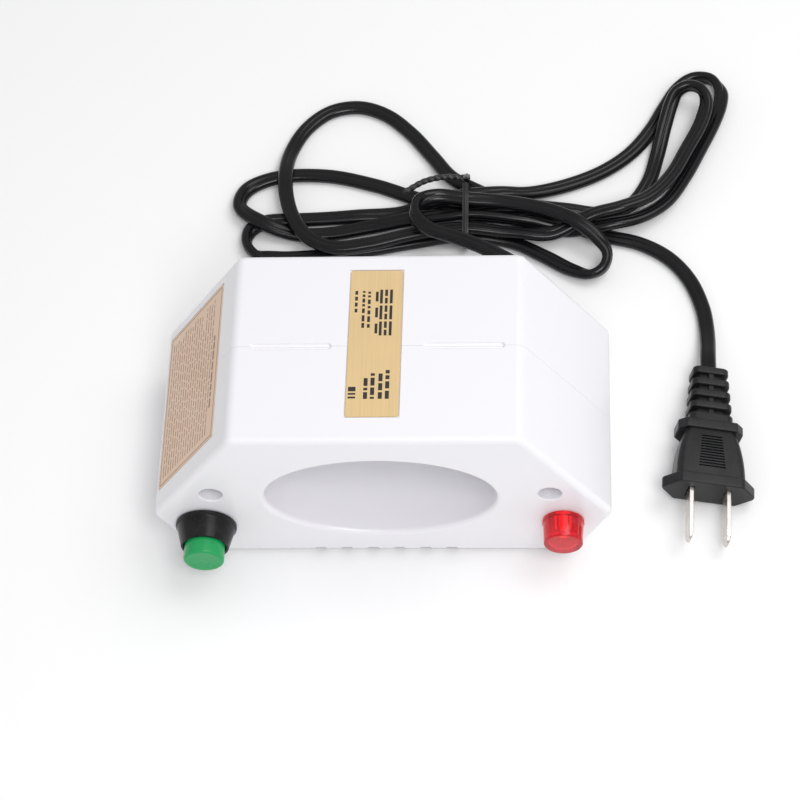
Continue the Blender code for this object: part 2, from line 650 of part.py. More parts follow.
def make_front_shell(finish):
    """Front half of the case: face, tunnel sleeve, screw bosses, openings for button and lamp."""
    seam = SEAM_Y - GAP / 2
    shell = case_block("front_shell", FRONT_Y, seam, finish)
    inside = FRONT_Y + WALL
    cavity = prism_y("front_cavity", case_outline(WALL), inside, SEAM_Y + OVERSHOOT, finish)
    combine(shell, [cavity], "DIFFERENCE")
    additions = [prism_y("front_sleeve", tunnel_outline(TUNNEL_WALL), FRONT_Y + WALL / 2, seam, finish)]
    for side, x in screw_places():
        boss = (f"front_boss_{side}", BOSS_RADIUS, x, SCREW_Z)
        additions.append(round_cutter(*boss, FRONT_Y + WALL / 2, seam, finish))
    combine(shell, additions, "UNION")
    cutters = shell_cutters("front", FRONT_Y, finish)
    clearance = SCREW_SHANK_RADIUS + GAP
    for side, x in screw_places():
        mouth = FRONT_Y - OVERSHOOT
        recess = (mouth, FRONT_Y + SCREW_RECESS_DEPTH)
        mouth_hole = (f"screw_recess_{side}", SCREW_RECESS_RADIUS, x, SCREW_Z)
        cutters.append(round_cutter(*mouth_hole, *recess, finish))
        way = (f"screw_way_{side}", clearance, x, SCREW_Z)
        cutters.append(round_cutter(*way, mouth, SEAM_Y + OVERSHOOT, finish))
    hole = (FRONT_Y - OVERSHOOT, FRONT_Y + WALL + OVERSHOOT)
    cutters.append(round_cutter("button_hole", BEZEL_NECK_RADIUS + GAP, BUTTON_X, BUTTON_Z, *hole, finish))
    cutters.append(round_cutter("lamp_hole", LENS_NECK_RADIUS + GAP, LAMP_X, LAMP_Z, *hole, finish))
    combine(shell, cutters, "DIFFERENCE")
    return shell


def make_rear_shell(finish):
    """Rear half of the case: tunnel sleeve, screw posts, seam lip and the cord's opening."""
    seam = SEAM_Y + GAP / 2
    shell = case_block("rear_shell", REAR_Y, seam, finish)
    inside = REAR_Y - WALL
    cavity = prism_y("rear_cavity", case_outline(WALL), SEAM_Y - OVERSHOOT, inside, finish)
    combine(shell, [cavity], "DIFFERENCE")
    additions = [prism_y("rear_sleeve", tunnel_outline(TUNNEL_WALL), seam, REAR_Y - WALL / 2, finish)]
    for side, x in screw_places():
        post = (f"rear_post_{side}", BOSS_RADIUS, x, SCREW_Z)
        additions.append(round_cutter(*post, seam, REAR_Y - WALL / 2, finish))
    combine(shell, additions, "UNION")
    cutters = shell_cutters("rear", REAR_Y, finish)
    pilot = SCREW_SHANK_RADIUS + GAP
    pilot_end = FRONT_Y + SCREW_RECESS_DEPTH + SCREW_LENGTH + 2 * OVERSHOOT
    for side, x in screw_places():
        bore = (f"screw_pilot_{side}", pilot, x, SCREW_Z)
        cutters.append(round_cutter(*bore, SEAM_Y - OVERSHOOT, pilot_end, finish))
    half_width, half_height = OUTLET_NECK
    opening = rounded_rectangle(half_width + GAP, half_height + GAP, half_height / 2, OUTLET_X, OUTLET_Z)
    cutters.append(prism_y("outlet_opening", opening, REAR_Y - WALL - OVERSHOOT, REAR_Y + OVERSHOOT, finish))
    combine(shell, cutters, "DIFFERENCE")
    combine(shell, [seam_lip(finish)], "UNION")
    return shell


def make_feet(finish):
    """Four rubber feet in shallow recesses of the underside."""
    for name, x, y in foot_places():
        upright_cylinder(name, FOOT_RADIUS, x, y, 0.0, BASE_Z + FOOT_RECESS - GAP, finish)


def make_case_screws(finish):
    """Two long screws from the front recesses into the rear posts, each with a cross slot."""
    seat = FRONT_Y + SCREW_RECESS_DEPTH - GAP
    head = seat - SCREW_HEAD_HEIGHT
    profile = [
        (0.0, head),
        (SCREW_HEAD_RADIUS * SCREW_CROWN, head),
        (SCREW_HEAD_RADIUS, head + SCREW_HEAD_HEIGHT / 3),
        (SCREW_HEAD_RADIUS, seat),
        (SCREW_SHANK_RADIUS, seat),
        (SCREW_SHANK_RADIUS, seat + SCREW_LENGTH - SCREW_SHANK_RADIUS),
        (SCREW_SHANK_RADIUS / 2, seat + SCREW_LENGTH),
        (0.0, seat + SCREW_LENGTH),
    ]
    arm = SCREW_HEAD_RADIUS * CROSS_ARM
    half = SCREW_HEAD_RADIUS * CROSS_HALF_WIDTH
    for side, x in screw_places():
        screw = turned_y(f"case_screw_{side}", profile, finish, x, SCREW_Z, segments=20)
        y_low, y_high = head - OVERSHOOT, head + SCREW_HEAD_HEIGHT / 2
        flat = ((x - arm, y_low, SCREW_Z - half), (x + arm, y_high, SCREW_Z + half))
        across = box(f"slot_across_{side}", *flat, finish)
        tall = ((x - half, y_low, SCREW_Z - arm), (x + half, y_high, SCREW_Z + arm))
        upright = box(f"slot_up_{side}", *tall, finish)
        combine(screw, [across, upright], "DIFFERENCE")


def make_labels(gold, peach):
    """The rating plate across the seam and the instruction label on the left slope."""
    x, y = TOP_LABEL_CENTRE[0], SEAM_Y + TOP_LABEL_CENTRE[1]
    half_x, half_y = TOP_LABEL_SIZE[0] / 2, TOP_LABEL_SIZE[1] / 2
    underside = TOP_Z - LABEL_THICKNESS
    box("rating_label", (x - half_x, y - half_y, underside), (x + half_x, y + half_y, TOP_Z), gold)
    side_label_block("instruction_label", LABEL_THICKNESS, 0.0, 0.0, peach)


# ---------------------------------------------------------------- coil


def elliptical_ring(name, inner, outer, y_front, y_back, finish, segments=40):
    """A ring round the tunnel between two distances from the tunnel's wall."""
    sections = ((inner, y_front), (outer, y_front), (outer, y_back), (inner, y_back))
    rings = [at_y(tunnel_outline(growth, segments), y) for growth, y in sections]
    return loft_object(name, rings, finish, closed=True)


def coil_layers():
    """Distances from the tunnel's wall to the bobbin, the winding and the tape, from the inside out."""
    bobbin_inner = TUNNEL_WALL + BOBBIN_CLEARANCE
    bobbin_outer = bobbin_inner + BOBBIN_WALL
    winding_outer = bobbin_outer + GAP + WINDING_DEPTH
    tape_outer = winding_outer + GAP + TAPE_THICKNESS
    return bobbin_inner, bobbin_outer, winding_outer, tape_outer


def make_coil(nylon, copper, tape):
    """The bobbin on the tunnel sleeves, its winding and the tape over it."""
    bobbin_inner, bobbin_outer, winding_outer, tape_outer = coil_layers()
    flange = tape_outer + FLANGE_RIM
    front = SEAM_Y - BOBBIN_LENGTH / 2
    back = SEAM_Y + BOBBIN_LENGTH / 2
    sections = (
        (bobbin_inner, front),
        (flange, front),
        (flange, front + BOBBIN_FLANGE),
        (bobbin_outer, front + BOBBIN_FLANGE),
        (bobbin_outer, back - BOBBIN_FLANGE),
        (flange, back - BOBBIN_FLANGE),
        (flange, back),
        (bobbin_inner, back),
    )
    rings = [at_y(tunnel_outline(growth, 40), y) for growth, y in sections]
    loft_object("coil_bobbin", rings, nylon, closed=True)
    y_front = front + BOBBIN_FLANGE + GAP
    y_back = back - BOBBIN_FLANGE - GAP
    elliptical_ring("coil_winding", bobbin_outer + GAP, winding_outer, y_front, y_back, copper)
    elliptical_ring("coil_tape", winding_outer + GAP, tape_outer, y_front, y_back, tape)


# ---------------------------------------------------------------- button


def button_depths():
    """Y of the faces that the button's pieces share, from the cap's end to the switch's back."""
    face = FRONT_Y - GAP
    nose = face - BEZEL_LENGTH
    neck_end = FRONT_Y + BEZEL_NECK_LENGTH
    floor = neck_end - BEZEL_FLOOR
    cap_end = nose - CAP_PROUD
    head = cap_end + CAP_LENGTH + GAP
    collar = neck_end + GAP
    bridge = collar + COLLAR_LENGTH + GAP
    pads = bridge + METAL_SHEET + BUTTON_TRAVEL + CONTACT_AIR
    return face, nose, neck_end, floor, cap_end, head, collar, bridge, pads


def make_bezel(finish):
    """Flared bezel whose neck passes the wall and guides the cap."""
    face, nose, neck_end, floor = button_depths()[:4]
    bore = CAP_RADIUS + GAP
    profile = [
        (bore, floor),
        (bore, nose),
        (BEZEL_NOSE_RADIUS, nose),
        (BEZEL_RIM_RADIUS, face - GAP),
        (BEZEL_RIM_RADIUS, face),
        (BEZEL_NECK_RADIUS, face),
        (BEZEL_NECK_RADIUS, neck_end),
        (ROD_RADIUS + GAP, neck_end),
        (ROD_RADIUS + GAP, floor),
    ]
    return turned_y("button_bezel", profile, finish, BUTTON_X, BUTTON_Z, segments=32)


def make_ring_nut(finish):
    """Round nut that clamps the bezel to the wall, with four spanner notches."""
    front = FRONT_Y + WALL + GAP
    back = front + RING_NUT_LENGTH
    inner = BEZEL_NECK_RADIUS + GAP
    profile = [(inner, front), (RING_NUT_RADIUS, front), (RING_NUT_RADIUS, back), (inner, back)]
    nut = turned_y("button_ring_nut", profile, finish, BUTTON_X, BUTTON_Z)
    notches = []
    half = RING_NUT_LENGTH / 3
    depth = (RING_NUT_RADIUS - inner) / 2
    for number in range(4):
        angle = pi / 4 + pi / 2 * number
        x = BUTTON_X + RING_NUT_RADIUS * cos(angle)
        z = BUTTON_Z + RING_NUT_RADIUS * sin(angle)
        y_low = back - RING_NUT_LENGTH / 2
        corner_low = (x - depth, y_low, z - half)
        corner_high = (x + depth, back + OVERSHOOT, z + half)
        notches.append(box(f"nut_notch_{number + 1}", corner_low, corner_high, finish))
    combine(nut, notches, "DIFFERENCE")


def make_cap(finish):
    """Green push cap."""
    cap_end = button_depths()[4]
    back = cap_end + CAP_LENGTH
    profile = [(0.0, cap_end)]
    for step in range(4):
        angle = pi / 2 * step / 3
        radius = CAP_RADIUS - CAP_FILLET * (1 - sin(angle))
        profile.append((radius, cap_end + CAP_FILLET * (1 - cos(angle))))
    profile += [(CAP_RADIUS, back), (0.0, back)]
    return turned_y("button_cap", profile, finish, BUTTON_X, BUTTON_Z, segments=32)


def make_plunger(finish):
    """Rod behind the cap: spring head, collar that stops it against the bezel's floor, end button."""
    _, _, _, _, _, head, collar, bridge, _ = button_depths()
    rear_stop = bridge + METAL_SHEET + GAP
    profile = [
        (0.0, head),
        (ROD_HEAD_RADIUS, head),
        (ROD_HEAD_RADIUS, head + ROD_HEAD_LENGTH),
        (ROD_RADIUS, head + ROD_HEAD_LENGTH),
        (ROD_RADIUS, collar),
        (ROD_COLLAR_RADIUS, collar),
        (ROD_COLLAR_RADIUS, bridge - GAP),
        (ROD_RADIUS, bridge - GAP),
        (ROD_RADIUS, rear_stop),
        (ROD_COLLAR_RADIUS, rear_stop),
        (ROD_COLLAR_RADIUS, rear_stop + METAL_SHEET),
        (0.0, rear_stop + METAL_SHEET),
    ]
    return turned_y("button_plunger", profile, finish, BUTTON_X, BUTTON_Z, segments=20)


def make_spring(finish):
    """Compression spring between the plunger's head and the bezel's floor."""
    _, _, _, floor, _, head, _, _, _ = button_depths()
    front = head + ROD_HEAD_LENGTH + GAP + SPRING_WIRE_RADIUS
    back = floor - GAP - SPRING_WIRE_RADIUS
    steps = SPRING_TURNS * SPRING_STEPS
    points = []
    for i in range(steps + 1):
        angle = 2 * pi * SPRING_TURNS * i / steps
        y = front + (back - front) * i / steps
        points.append((BUTTON_X + SPRING_RADIUS * cos(angle), y, BUTTON_Z + SPRING_RADIUS * sin(angle)))
    return tube("button_spring", points, SPRING_WIRE_RADIUS, finish, resolution=1)


def make_switch_housing(finish):
    """Cylindrical switch body behind the bezel, with slots for its two terminals."""
    neck_end = button_depths()[2]
    front = neck_end - BEZEL_FLOOR - SWITCH_WALL
    back = front + SWITCH_LENGTH
    inner = SWITCH_RADIUS - SWITCH_WALL
    hole = BEZEL_NECK_RADIUS + GAP
    profile = [
        (0.0, back),
        (SWITCH_RADIUS, back),
        (SWITCH_RADIUS, front),
        (hole, front),
        (hole, front + SWITCH_WALL),
        (inner, front + SWITCH_WALL),
        (inner, back - SWITCH_WALL),
        (0.0, back - SWITCH_WALL),
    ]
    housing = turned_y("switch_housing", profile, finish, BUTTON_X, BUTTON_Z, segments=28)
    slots = []
    for side, direction in (("left", -1.0), ("right", 1.0)):
        reaches = (CONTACT_OUTER - METAL_SHEET - GAP, CONTACT_OUTER + GAP)
        near, far = sorted(direction * reach for reach in reaches)
        half = CONTACT_WIDTH / 2 + GAP
        low = (BUTTON_X + near, back - SWITCH_WALL - OVERSHOOT, BUTTON_Z - half)
        high = (BUTTON_X + far, back + OVERSHOOT, BUTTON_Z + half)
        slots.append(box(f"terminal_slot_{side}", low, high, finish))
    combine(housing, slots, "DIFFERENCE")
    return back


def make_contacts(brass, housing_back):
    """Two fixed contacts whose terminals leave through the switch's back, and the moving bridge."""
    bridge, pads = button_depths()[7:]
    end = housing_back + TERMINAL_REACH
    for side, direction in (("left", -1.0), ("right", 1.0)):
        inner = BUTTON_X + direction * CONTACT_INNER
        outer = BUTTON_X + direction * CONTACT_OUTER
        knee = outer - direction * METAL_SHEET
        outline = [
            (inner, pads),
            (outer, pads),
            (outer, end),
            (knee, end),
            (knee, pads + METAL_SHEET),
            (inner, pads + METAL_SHEET),
        ]
        rings = [
            [(x, y, BUTTON_Z + height) for x, y in outline]
            for height in (-CONTACT_WIDTH / 2, CONTACT_WIDTH / 2)
        ]
        loft_object(f"switch_contact_{side}", rings, brass)
    half = BRIDGE_WIDTH / 2
    outline = rounded_rectangle(BRIDGE_LENGTH / 2, half, half / 2, BUTTON_X, BUTTON_Z)
    plate = prism_y("switch_bridge", outline, bridge, bridge + METAL_SHEET, brass)
    ends = (bridge - OVERSHOOT, bridge + METAL_SHEET + OVERSHOOT)
    hole = round_cutter("bridge_hole", ROD_RADIUS + GAP, BUTTON_X, BUTTON_Z, *ends, brass, segments=20)
    combine(plate, [hole], "DIFFERENCE")


# ---------------------------------------------------------------- lamp


def make_lamp(red, glass, black, steel):
    """Red lens through the wall, spring clip behind it, neon bulb and its holder."""
    face = FRONT_Y - GAP
    nose = face - LENS_LENGTH
    neck_end = FRONT_Y + LENS_NECK_LENGTH
    bore = LENS_NECK_RADIUS - LENS_WALL
    profile = [
        (0.0, nose),
        (LENS_NOSE_RADIUS - LENS_FILLET, nose),
        (LENS_NOSE_RADIUS, nose + LENS_FILLET),
        (LENS_BASE_RADIUS, face),
        (LENS_NECK_RADIUS, face),
        (LENS_NECK_RADIUS, neck_end),
        (bore, neck_end),
        (bore, nose + LENS_WALL),
        (0.0, nose + LENS_WALL),
    ]
    turned_y("lamp_lens", profile, red, LAMP_X, LAMP_Z, segments=28)
    clip_front = FRONT_Y + WALL + GAP
    inner = LENS_NECK_RADIUS + GAP
    clip_back = clip_front + LAMP_CLIP_THICKNESS
    outer = LAMP_CLIP_RADIUS
    ring = [(inner, clip_front), (outer, clip_front), (outer, clip_back), (inner, clip_back)]
    turned_y("lamp_clip", ring, steel, LAMP_X, LAMP_Z)
    holder_front = neck_end + GAP
    holder_back = holder_front + HOLDER_LENGTH
    socket = BULB_RADIUS + GAP
    holder_profile = [
        (0.0, holder_back),
        (HOLDER_RADIUS, holder_back),
        (HOLDER_RADIUS, holder_front),
        (socket, holder_front),
        (socket, holder_front + HOLDER_SOCKET),
        (0.0, holder_front + HOLDER_SOCKET),
    ]
    turned_y("lamp_holder", holder_profile, black, LAMP_X, LAMP_Z)
    bulb_back = holder_front + HOLDER_SOCKET - GAP
    bulb_front = bulb_back - BULB_LENGTH
    bulb_profile = [(0.0, bulb_front)]
    for step in range(1, 5):
        angle = pi / 2 * step / 4
        bulb_profile.append((BULB_RADIUS * sin(angle), bulb_front + BULB_RADIUS * (1 - cos(angle))))
    bulb_profile += [(BULB_RADIUS, bulb_back), (0.0, bulb_back)]
    turned_y("lamp_bulb", bulb_profile, glass, LAMP_X, LAMP_Z, segments=16)
    return holder_back


# ---------------------------------------------------------------- cord outlet and inner wiring


def make_outlet(finish):
    """Moulded strain relief held in the rear wall by a flange on each side, with a ribbed tail."""
    inside = REAR_Y - WALL - GAP
    outside = REAR_Y + GAP
    tail = outside + OUTLET_FLANGE_THICKNESS
    sections = [
        (*OUTLET_FLANGE, inside - OUTLET_FLANGE_THICKNESS),
        (*OUTLET_FLANGE, inside),
        (*OUTLET_NECK, inside),
        (*OUTLET_NECK, outside),
        (*OUTLET_FLANGE, outside),
        (*OUTLET_FLANGE, tail),
    ]
    pitch = OUTLET_TAIL_LENGTH / (OUTLET_RIBS + RIB_END)
    for rib in range(OUTLET_RIBS + 1):
        y = tail + pitch * rib
        share = rib / (OUTLET_RIBS + RIB_END)
        half_width, half_height = (
            start + (end - start) * share for start, end in zip(OUTLET_TAIL_START, OUTLET_TAIL_END)
        )
        groove = (half_width - OUTLET_RIB_DEPTH, half_height - OUTLET_RIB_DEPTH)
        sections.append((*groove, y))
        sections.append((*groove, y + pitch / 2))
        if rib < OUTLET_RIBS:
            sections.append((half_width, half_height, y + pitch / 2))
            sections.append((half_width, half_height, y + pitch))
    rings = []
    for half_width, half_height, y in sections:
        rounding = half_height * SECTION_ROUNDING
        outline = rounded_rectangle(half_width, half_height, rounding, OUTLET_X, OUTLET_Z)
        rings.append(at_y(outline, y))
    loft_object("cord_outlet", rings, finish)
    return inside - OUTLET_FLANGE_THICKNESS


def lead(name, start, start_way, end, end_way, between, finish):
    """An insulated wire that leaves both of its ends straight and runs smoothly between them."""
    start = Vector(start)
    end = Vector(end)
    out = start + Vector(start_way) * LEAD_STUB
    into = end + Vector(end_way) * LEAD_STUB
    route = [start, out, *[Vector(point) for point in between], into, end]
    return tube(name, smooth_curve(route, samples=3), LEAD_RADIUS, finish)


def make_splices(finish):
    """Two crimped splices beside the coil, and where leads meet their front and back ends."""
    front = SEAM_Y + SPLICE_FRONT
    back = front + SPLICE_LENGTH
    ends = {}
    for name, (x, height) in (("live_splice", LIVE_SPLICE), ("neutral_splice", NEUTRAL_SPLICE)):
        z = BASE_Z + height
        prism_y(name, circle(SPLICE_RADIUS, 16, x, z), front, back, finish)
        ends[name] = (Vector((x, front - GAP, z)), Vector((x, back + GAP, z)))
    return ends


def make_resistor(holder_end, finish):
    """Series resistor of the lamp, its wire ends along Y; returns where the lead joins it."""
    x = LAMP_X - LAMP_LEAD_SPREAD
    z = LAMP_Z - LAMP_LEAD_SPREAD
    body_front = holder_end + RESISTOR_WIRE_LENGTH
    body_back = body_front + RESISTOR_LENGTH
    tip = body_back + RESISTOR_WIRE_LENGTH
    profile = [
        (0.0, holder_end),
        (RESISTOR_WIRE_RADIUS, holder_end),
        (RESISTOR_WIRE_RADIUS, body_front),
        (RESISTOR_RADIUS, body_front),
        (RESISTOR_RADIUS, body_back),
        (RESISTOR_WIRE_RADIUS, body_back),
        (RESISTOR_WIRE_RADIUS, tip),
        (0.0, tip),
    ]
    turned_y("lamp_resistor", profile, finish, x, z, segments=12)
    return Vector((x, tip + GAP, z))


def make_wiring(outlet_back, housing_back, holder_back, splice_finish, resistor_finish, live, neutral):
    """Leads between the cord's outlet, the two splices, the switch, the lamp and the coil."""
    ends = make_splices(splice_finish)
    live_front, live_back = ends["live_splice"]
    neutral_front, neutral_back = ends["neutral_splice"]
    ahead = Vector((0.0, -1.0, 0.0))
    behind = Vector((0.0, 1.0, 0.0))
    outward = Vector((1.0, 0.0, 0.0))
    beside = outward * (LEAD_RADIUS + GAP)
    above = Vector((0.0, 0.0, LEAD_RADIUS + GAP))
    outlet = Vector((OUTLET_X, outlet_back - GAP, OUTLET_Z))
    terminal_y = housing_back + TERMINAL_REACH + GAP
    terminal_shift = CONTACT_OUTER - METAL_SHEET / 2
    terminal_in = Vector((BUTTON_X + terminal_shift, terminal_y, BUTTON_Z))
    terminal_out = Vector((BUTTON_X - terminal_shift, terminal_y, BUTTON_Z))
    holder_end = holder_back + GAP
    resistor_tip = make_resistor(holder_end, resistor_finish)
    lamp_neutral = Vector((LAMP_X + LAMP_LEAD_SPREAD, holder_end, LAMP_Z))
    tape_outer = coil_layers()[3]
    drop = TUNNEL_HEIGHT / 3
    coil_x = (TUNNEL_WIDTH / 2 + tape_outer) * (1 - (drop / (TUNNEL_HEIGHT / 2 + tape_outer)) ** 2) ** 0.5
    coil_right = Vector((coil_x + GAP + LEAD_RADIUS, SEAM_Y + LEAD_STUB / 2, TUNNEL_Z - drop))
    coil_left = Vector((-coil_right.x, SEAM_Y + 2 * LEAD_STUB, coil_right.z))
    feed_x = OUTLET_X - 2 * LEAD_STUB
    feed_y = SEAM_Y + BOBBIN_LENGTH / 2 + LEAD_STUB
    feed_z = BASE_Z + WALL + 2 * LEAD_RADIUS
    feed_way = [(x, feed_y, feed_z) for x in (feed_x, feed_x / 3, -feed_x / 3, -feed_x)]
    lead("mains_live_lead", outlet - 2 * beside, ahead, live_back + beside, behind, [], live)
    lead("mains_neutral_lead", outlet + 2 * beside, ahead, neutral_back, behind, [], neutral)
    lead("switch_feed_lead", live_back - beside, behind, terminal_in, behind, feed_way, live)
    lead("coil_feed_lead", terminal_out, behind, coil_left, -outward, [], live)
    lead("coil_return_lead", coil_right, outward, neutral_front + above, ahead, [], neutral)
    lead("lamp_neutral_lead", lamp_neutral, behind, neutral_front - above, ahead, [], neutral)
    lead("lamp_live_lead", resistor_tip, behind, live_front, ahead, [], live)


# ---------------------------------------------------------------- mains cord, tie and plug


def route_place(point, spread=False):
    """A route's point in metres, raised with the cord's thickness and moved with the rear face."""
    x, y, z = (value * MM for value in point)
    growth = CORD_THICKNESS / ROUTE_CORD
    if spread:
        y = BUNDLE_Y + (y - BUNDLE_Y) * growth
    return (x, y + REAR_Y - ROUTE_REAR, z * growth)


def make_cord(finish):
    """The mains cord's free length, from the outlet's tail to the plug."""
    start = (OUTLET_X, REAR_Y + 2 * GAP + OUTLET_FLANGE_THICKNESS + OUTLET_TAIL_LENGTH, OUTLET_Z)
    stub = (start[0], start[1] + CORD_STUB, start[2])
    route = [start, stub, *[route_place(point) for point in CORD_ROUTE]]
    entry = plug_matrix() @ Vector((0.0, -GAP, 0.0))
    route.append(tuple(entry))
    points = thin_out(smooth_curve(route), CORD_STEP, CORD_TURN)
    return tube("power_cord", points, CORD_THICKNESS / 2, finish)


def make_twist_tie(finish):
    """Wire tie once round the bundle, its twisted tail lying back over the strands."""
    points = [route_place(point, spread=True) for point in TIE_ROUTE]
    return tube("twist_tie", smooth_curve(points, samples=3), TIE_RADIUS, finish)


def plug_matrix():
    """Place of the plug: its own +Y runs from the cord's entry to the blades' tips."""
    shoulder = PLUG_FLANGE_WIDTH / 2 - PLUG_FLANGE_SLANT
    height = PLUG_FLANGE_HEIGHT / 2 * cos(PLUG_ROLL) + shoulder * sin(PLUG_ROLL)
    place = Matrix.Translation((PLUG_X, REAR_Y - PLUG_AHEAD, height))
    return place @ Matrix.Rotation(pi - PLUG_TURN, 4, "Z") @ Matrix.Rotation(-PLUG_ROLL, 4, "Y")


def make_plug(black, nickel):
    """Moulded flat two-blade plug: ribbed tail, collar, bell-shaped body, six-sided flange, blades."""
    sections = []
    pitch = PLUG_TAIL_LENGTH / (PLUG_RIBS + RIB_END)
    for rib in range(PLUG_RIBS + 1):
        y = pitch * rib
        half_width, half_height = (
            start + (end - start) * y / PLUG_TAIL_LENGTH
            for start, end in zip(PLUG_TAIL_START, PLUG_TAIL_END)
        )
        sections.append((half_width, half_height, y))
        sections.append((half_width, half_height, y + pitch / 2))
        if rib < PLUG_RIBS:
            groove = (half_width - PLUG_RIB_DEPTH, half_height - PLUG_RIB_DEPTH / 2)
            sections.append((*groove, y + pitch / 2))
            sections.append((*groove, y + pitch))
    y = PLUG_TAIL_LENGTH
    sections.append((*PLUG_COLLAR, y))
    sections.append((*PLUG_COLLAR, y + PLUG_COLLAR_LENGTH))
    bell_start = y + PLUG_COLLAR_LENGTH
    for step in range(BELL_STEPS + 1):
        share = sin(pi / 2 * (step / BELL_STEPS) ** BELL_SWELL)
        half_width, half_height = (
            start + (end - start) * share for start, end in zip(PLUG_NECK, PLUG_BELL)
        )
        sections.append((half_width, half_height, bell_start + PLUG_BELL_LENGTH * step / BELL_STEPS))
    flange = bell_start + PLUG_BELL_LENGTH
    rings = [at_y(rounded_rectangle(w, h, h * SECTION_ROUNDING), y) for w, h, y in sections]
    body = loft_object("plug_body", rings, black)
    half = PLUG_FLANGE_WIDTH / 2
    high = PLUG_FLANGE_HEIGHT / 2
    shoulder = half - PLUG_FLANGE_SLANT
    lower = [(-half, 0.0), (-shoulder, -high), (shoulder, -high)]
    hexagon = [*lower, *[(-x, -z) for x, z in lower]]
    outline = rounded_polygon(hexagon, PLUG_FLANGE_CORNER, 2)
    plate = prism_y("plug_flange", outline, flange - OVERSHOOT, flange + PLUG_FLANGE_THICKNESS, black)
    combine(body, [plate], "UNION")
    tips = flange + PLUG_FLANGE_THICKNESS
    root = tips - BLADE_ROOT
    slots = []
    for side, x in (("left", BLADE_SPACING / 2), ("right", -BLADE_SPACING / 2)):
        low, high_corner = blade_corners(x, root, tips + BLADE_LENGTH, 0.0)
        blade = box(f"plug_blade_{side}", low, high_corner, nickel)
        blade.matrix_world = plug_matrix()
        low, high_corner = blade_corners(x, root - GAP, tips + OVERSHOOT, GAP)
        slots.append(box(f"blade_slot_{side}", low, high_corner, black))
    combine(body, slots, "DIFFERENCE")
    for piece in (body, plate, *slots):
        piece.matrix_world = plug_matrix()


def blade_corners(x, y_low, y_high, margin):
    """Two corners of a blade standing on edge at one side of the plug."""
    thick = BLADE_THICKNESS / 2 + margin
    wide = BLADE_WIDTH / 2 + margin
    return (x - thick, y_low, -wide), (x + thick, y_high, wide)


def main():
    """Build every piece."""
    clear_scene()
    white = material(*WHITE_PLASTIC)
    black = material(*BLACK_PLASTIC)
    pvc = material(*BLACK_PVC)
    nylon = material(*NYLON)
    brass = material(*BRASS)
    steel = material(*STEEL)
    nickel = material(*NICKEL)
    make_front_shell(white)
    make_rear_shell(white)
    make_feet(material(*RUBBER))
    make_case_screws(steel)
    make_labels(material(*GOLD_LABEL), material(*PEACH_LABEL))
    make_coil(nylon, material(*COPPER), material(*TAPE))
    make_bezel(black)
    make_ring_nut(black)
    make_cap(material(*GREEN_PLASTIC))
    make_plunger(nylon)
    make_spring(steel)
    housing_back = make_switch_housing(black)
    make_contacts(brass, housing_back)
    holder_back = make_lamp(material(*RED_LENS), material(*GLASS), black, steel)
    outlet_back = make_outlet(pvc)
    leads = (material(*RED_INSULATION), material(*BLUE_INSULATION))
    make_wiring(outlet_back, housing_back, holder_back, nylon, material(*RESISTOR_BODY), *leads)
    make_cord(pvc)
    make_twist_tie(pvc)
    make_plug(pvc, nickel)


main()
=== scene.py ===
"""Looks of a watchmaker's demagnetizer: a white box with a tunnel, a button, a lamp and a tied cord.

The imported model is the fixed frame. Lengths are metres, +Z is up and the front face looks along -Y.
"""

from __future__ import annotations

import logging
import random
from dataclasses import dataclass, field, replace
from enum import Enum
from math import ceil, cos, pi, radians, sin, sqrt
from typing import Iterable, Sequence

import bmesh
import bpy
import numpy as np
from mathutils import Matrix, Vector

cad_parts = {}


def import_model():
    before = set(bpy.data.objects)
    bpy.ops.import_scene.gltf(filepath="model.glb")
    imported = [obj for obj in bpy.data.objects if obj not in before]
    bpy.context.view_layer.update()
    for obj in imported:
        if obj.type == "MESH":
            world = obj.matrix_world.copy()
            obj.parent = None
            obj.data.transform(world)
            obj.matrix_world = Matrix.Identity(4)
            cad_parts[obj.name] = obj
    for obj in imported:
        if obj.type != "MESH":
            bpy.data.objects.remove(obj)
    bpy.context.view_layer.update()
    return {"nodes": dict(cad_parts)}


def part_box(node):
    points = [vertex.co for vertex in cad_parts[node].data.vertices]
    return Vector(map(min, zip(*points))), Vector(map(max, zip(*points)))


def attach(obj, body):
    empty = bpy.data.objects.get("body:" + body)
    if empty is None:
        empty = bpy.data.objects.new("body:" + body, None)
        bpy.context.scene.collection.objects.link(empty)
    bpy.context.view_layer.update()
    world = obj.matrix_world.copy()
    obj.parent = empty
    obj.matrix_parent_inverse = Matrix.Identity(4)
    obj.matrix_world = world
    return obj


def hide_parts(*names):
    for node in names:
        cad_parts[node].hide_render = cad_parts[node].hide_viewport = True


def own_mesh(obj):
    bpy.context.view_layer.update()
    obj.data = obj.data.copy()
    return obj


MM = 0.001
OVERSHOOT = 1.0 * MM  # how far a cutter passes what it cuts
LOG = logging.getLogger("demagnetizer")

Outline = list[tuple[float, float]]
Ring = list[tuple[float, float, float]]
Colour = tuple[float, float, float]

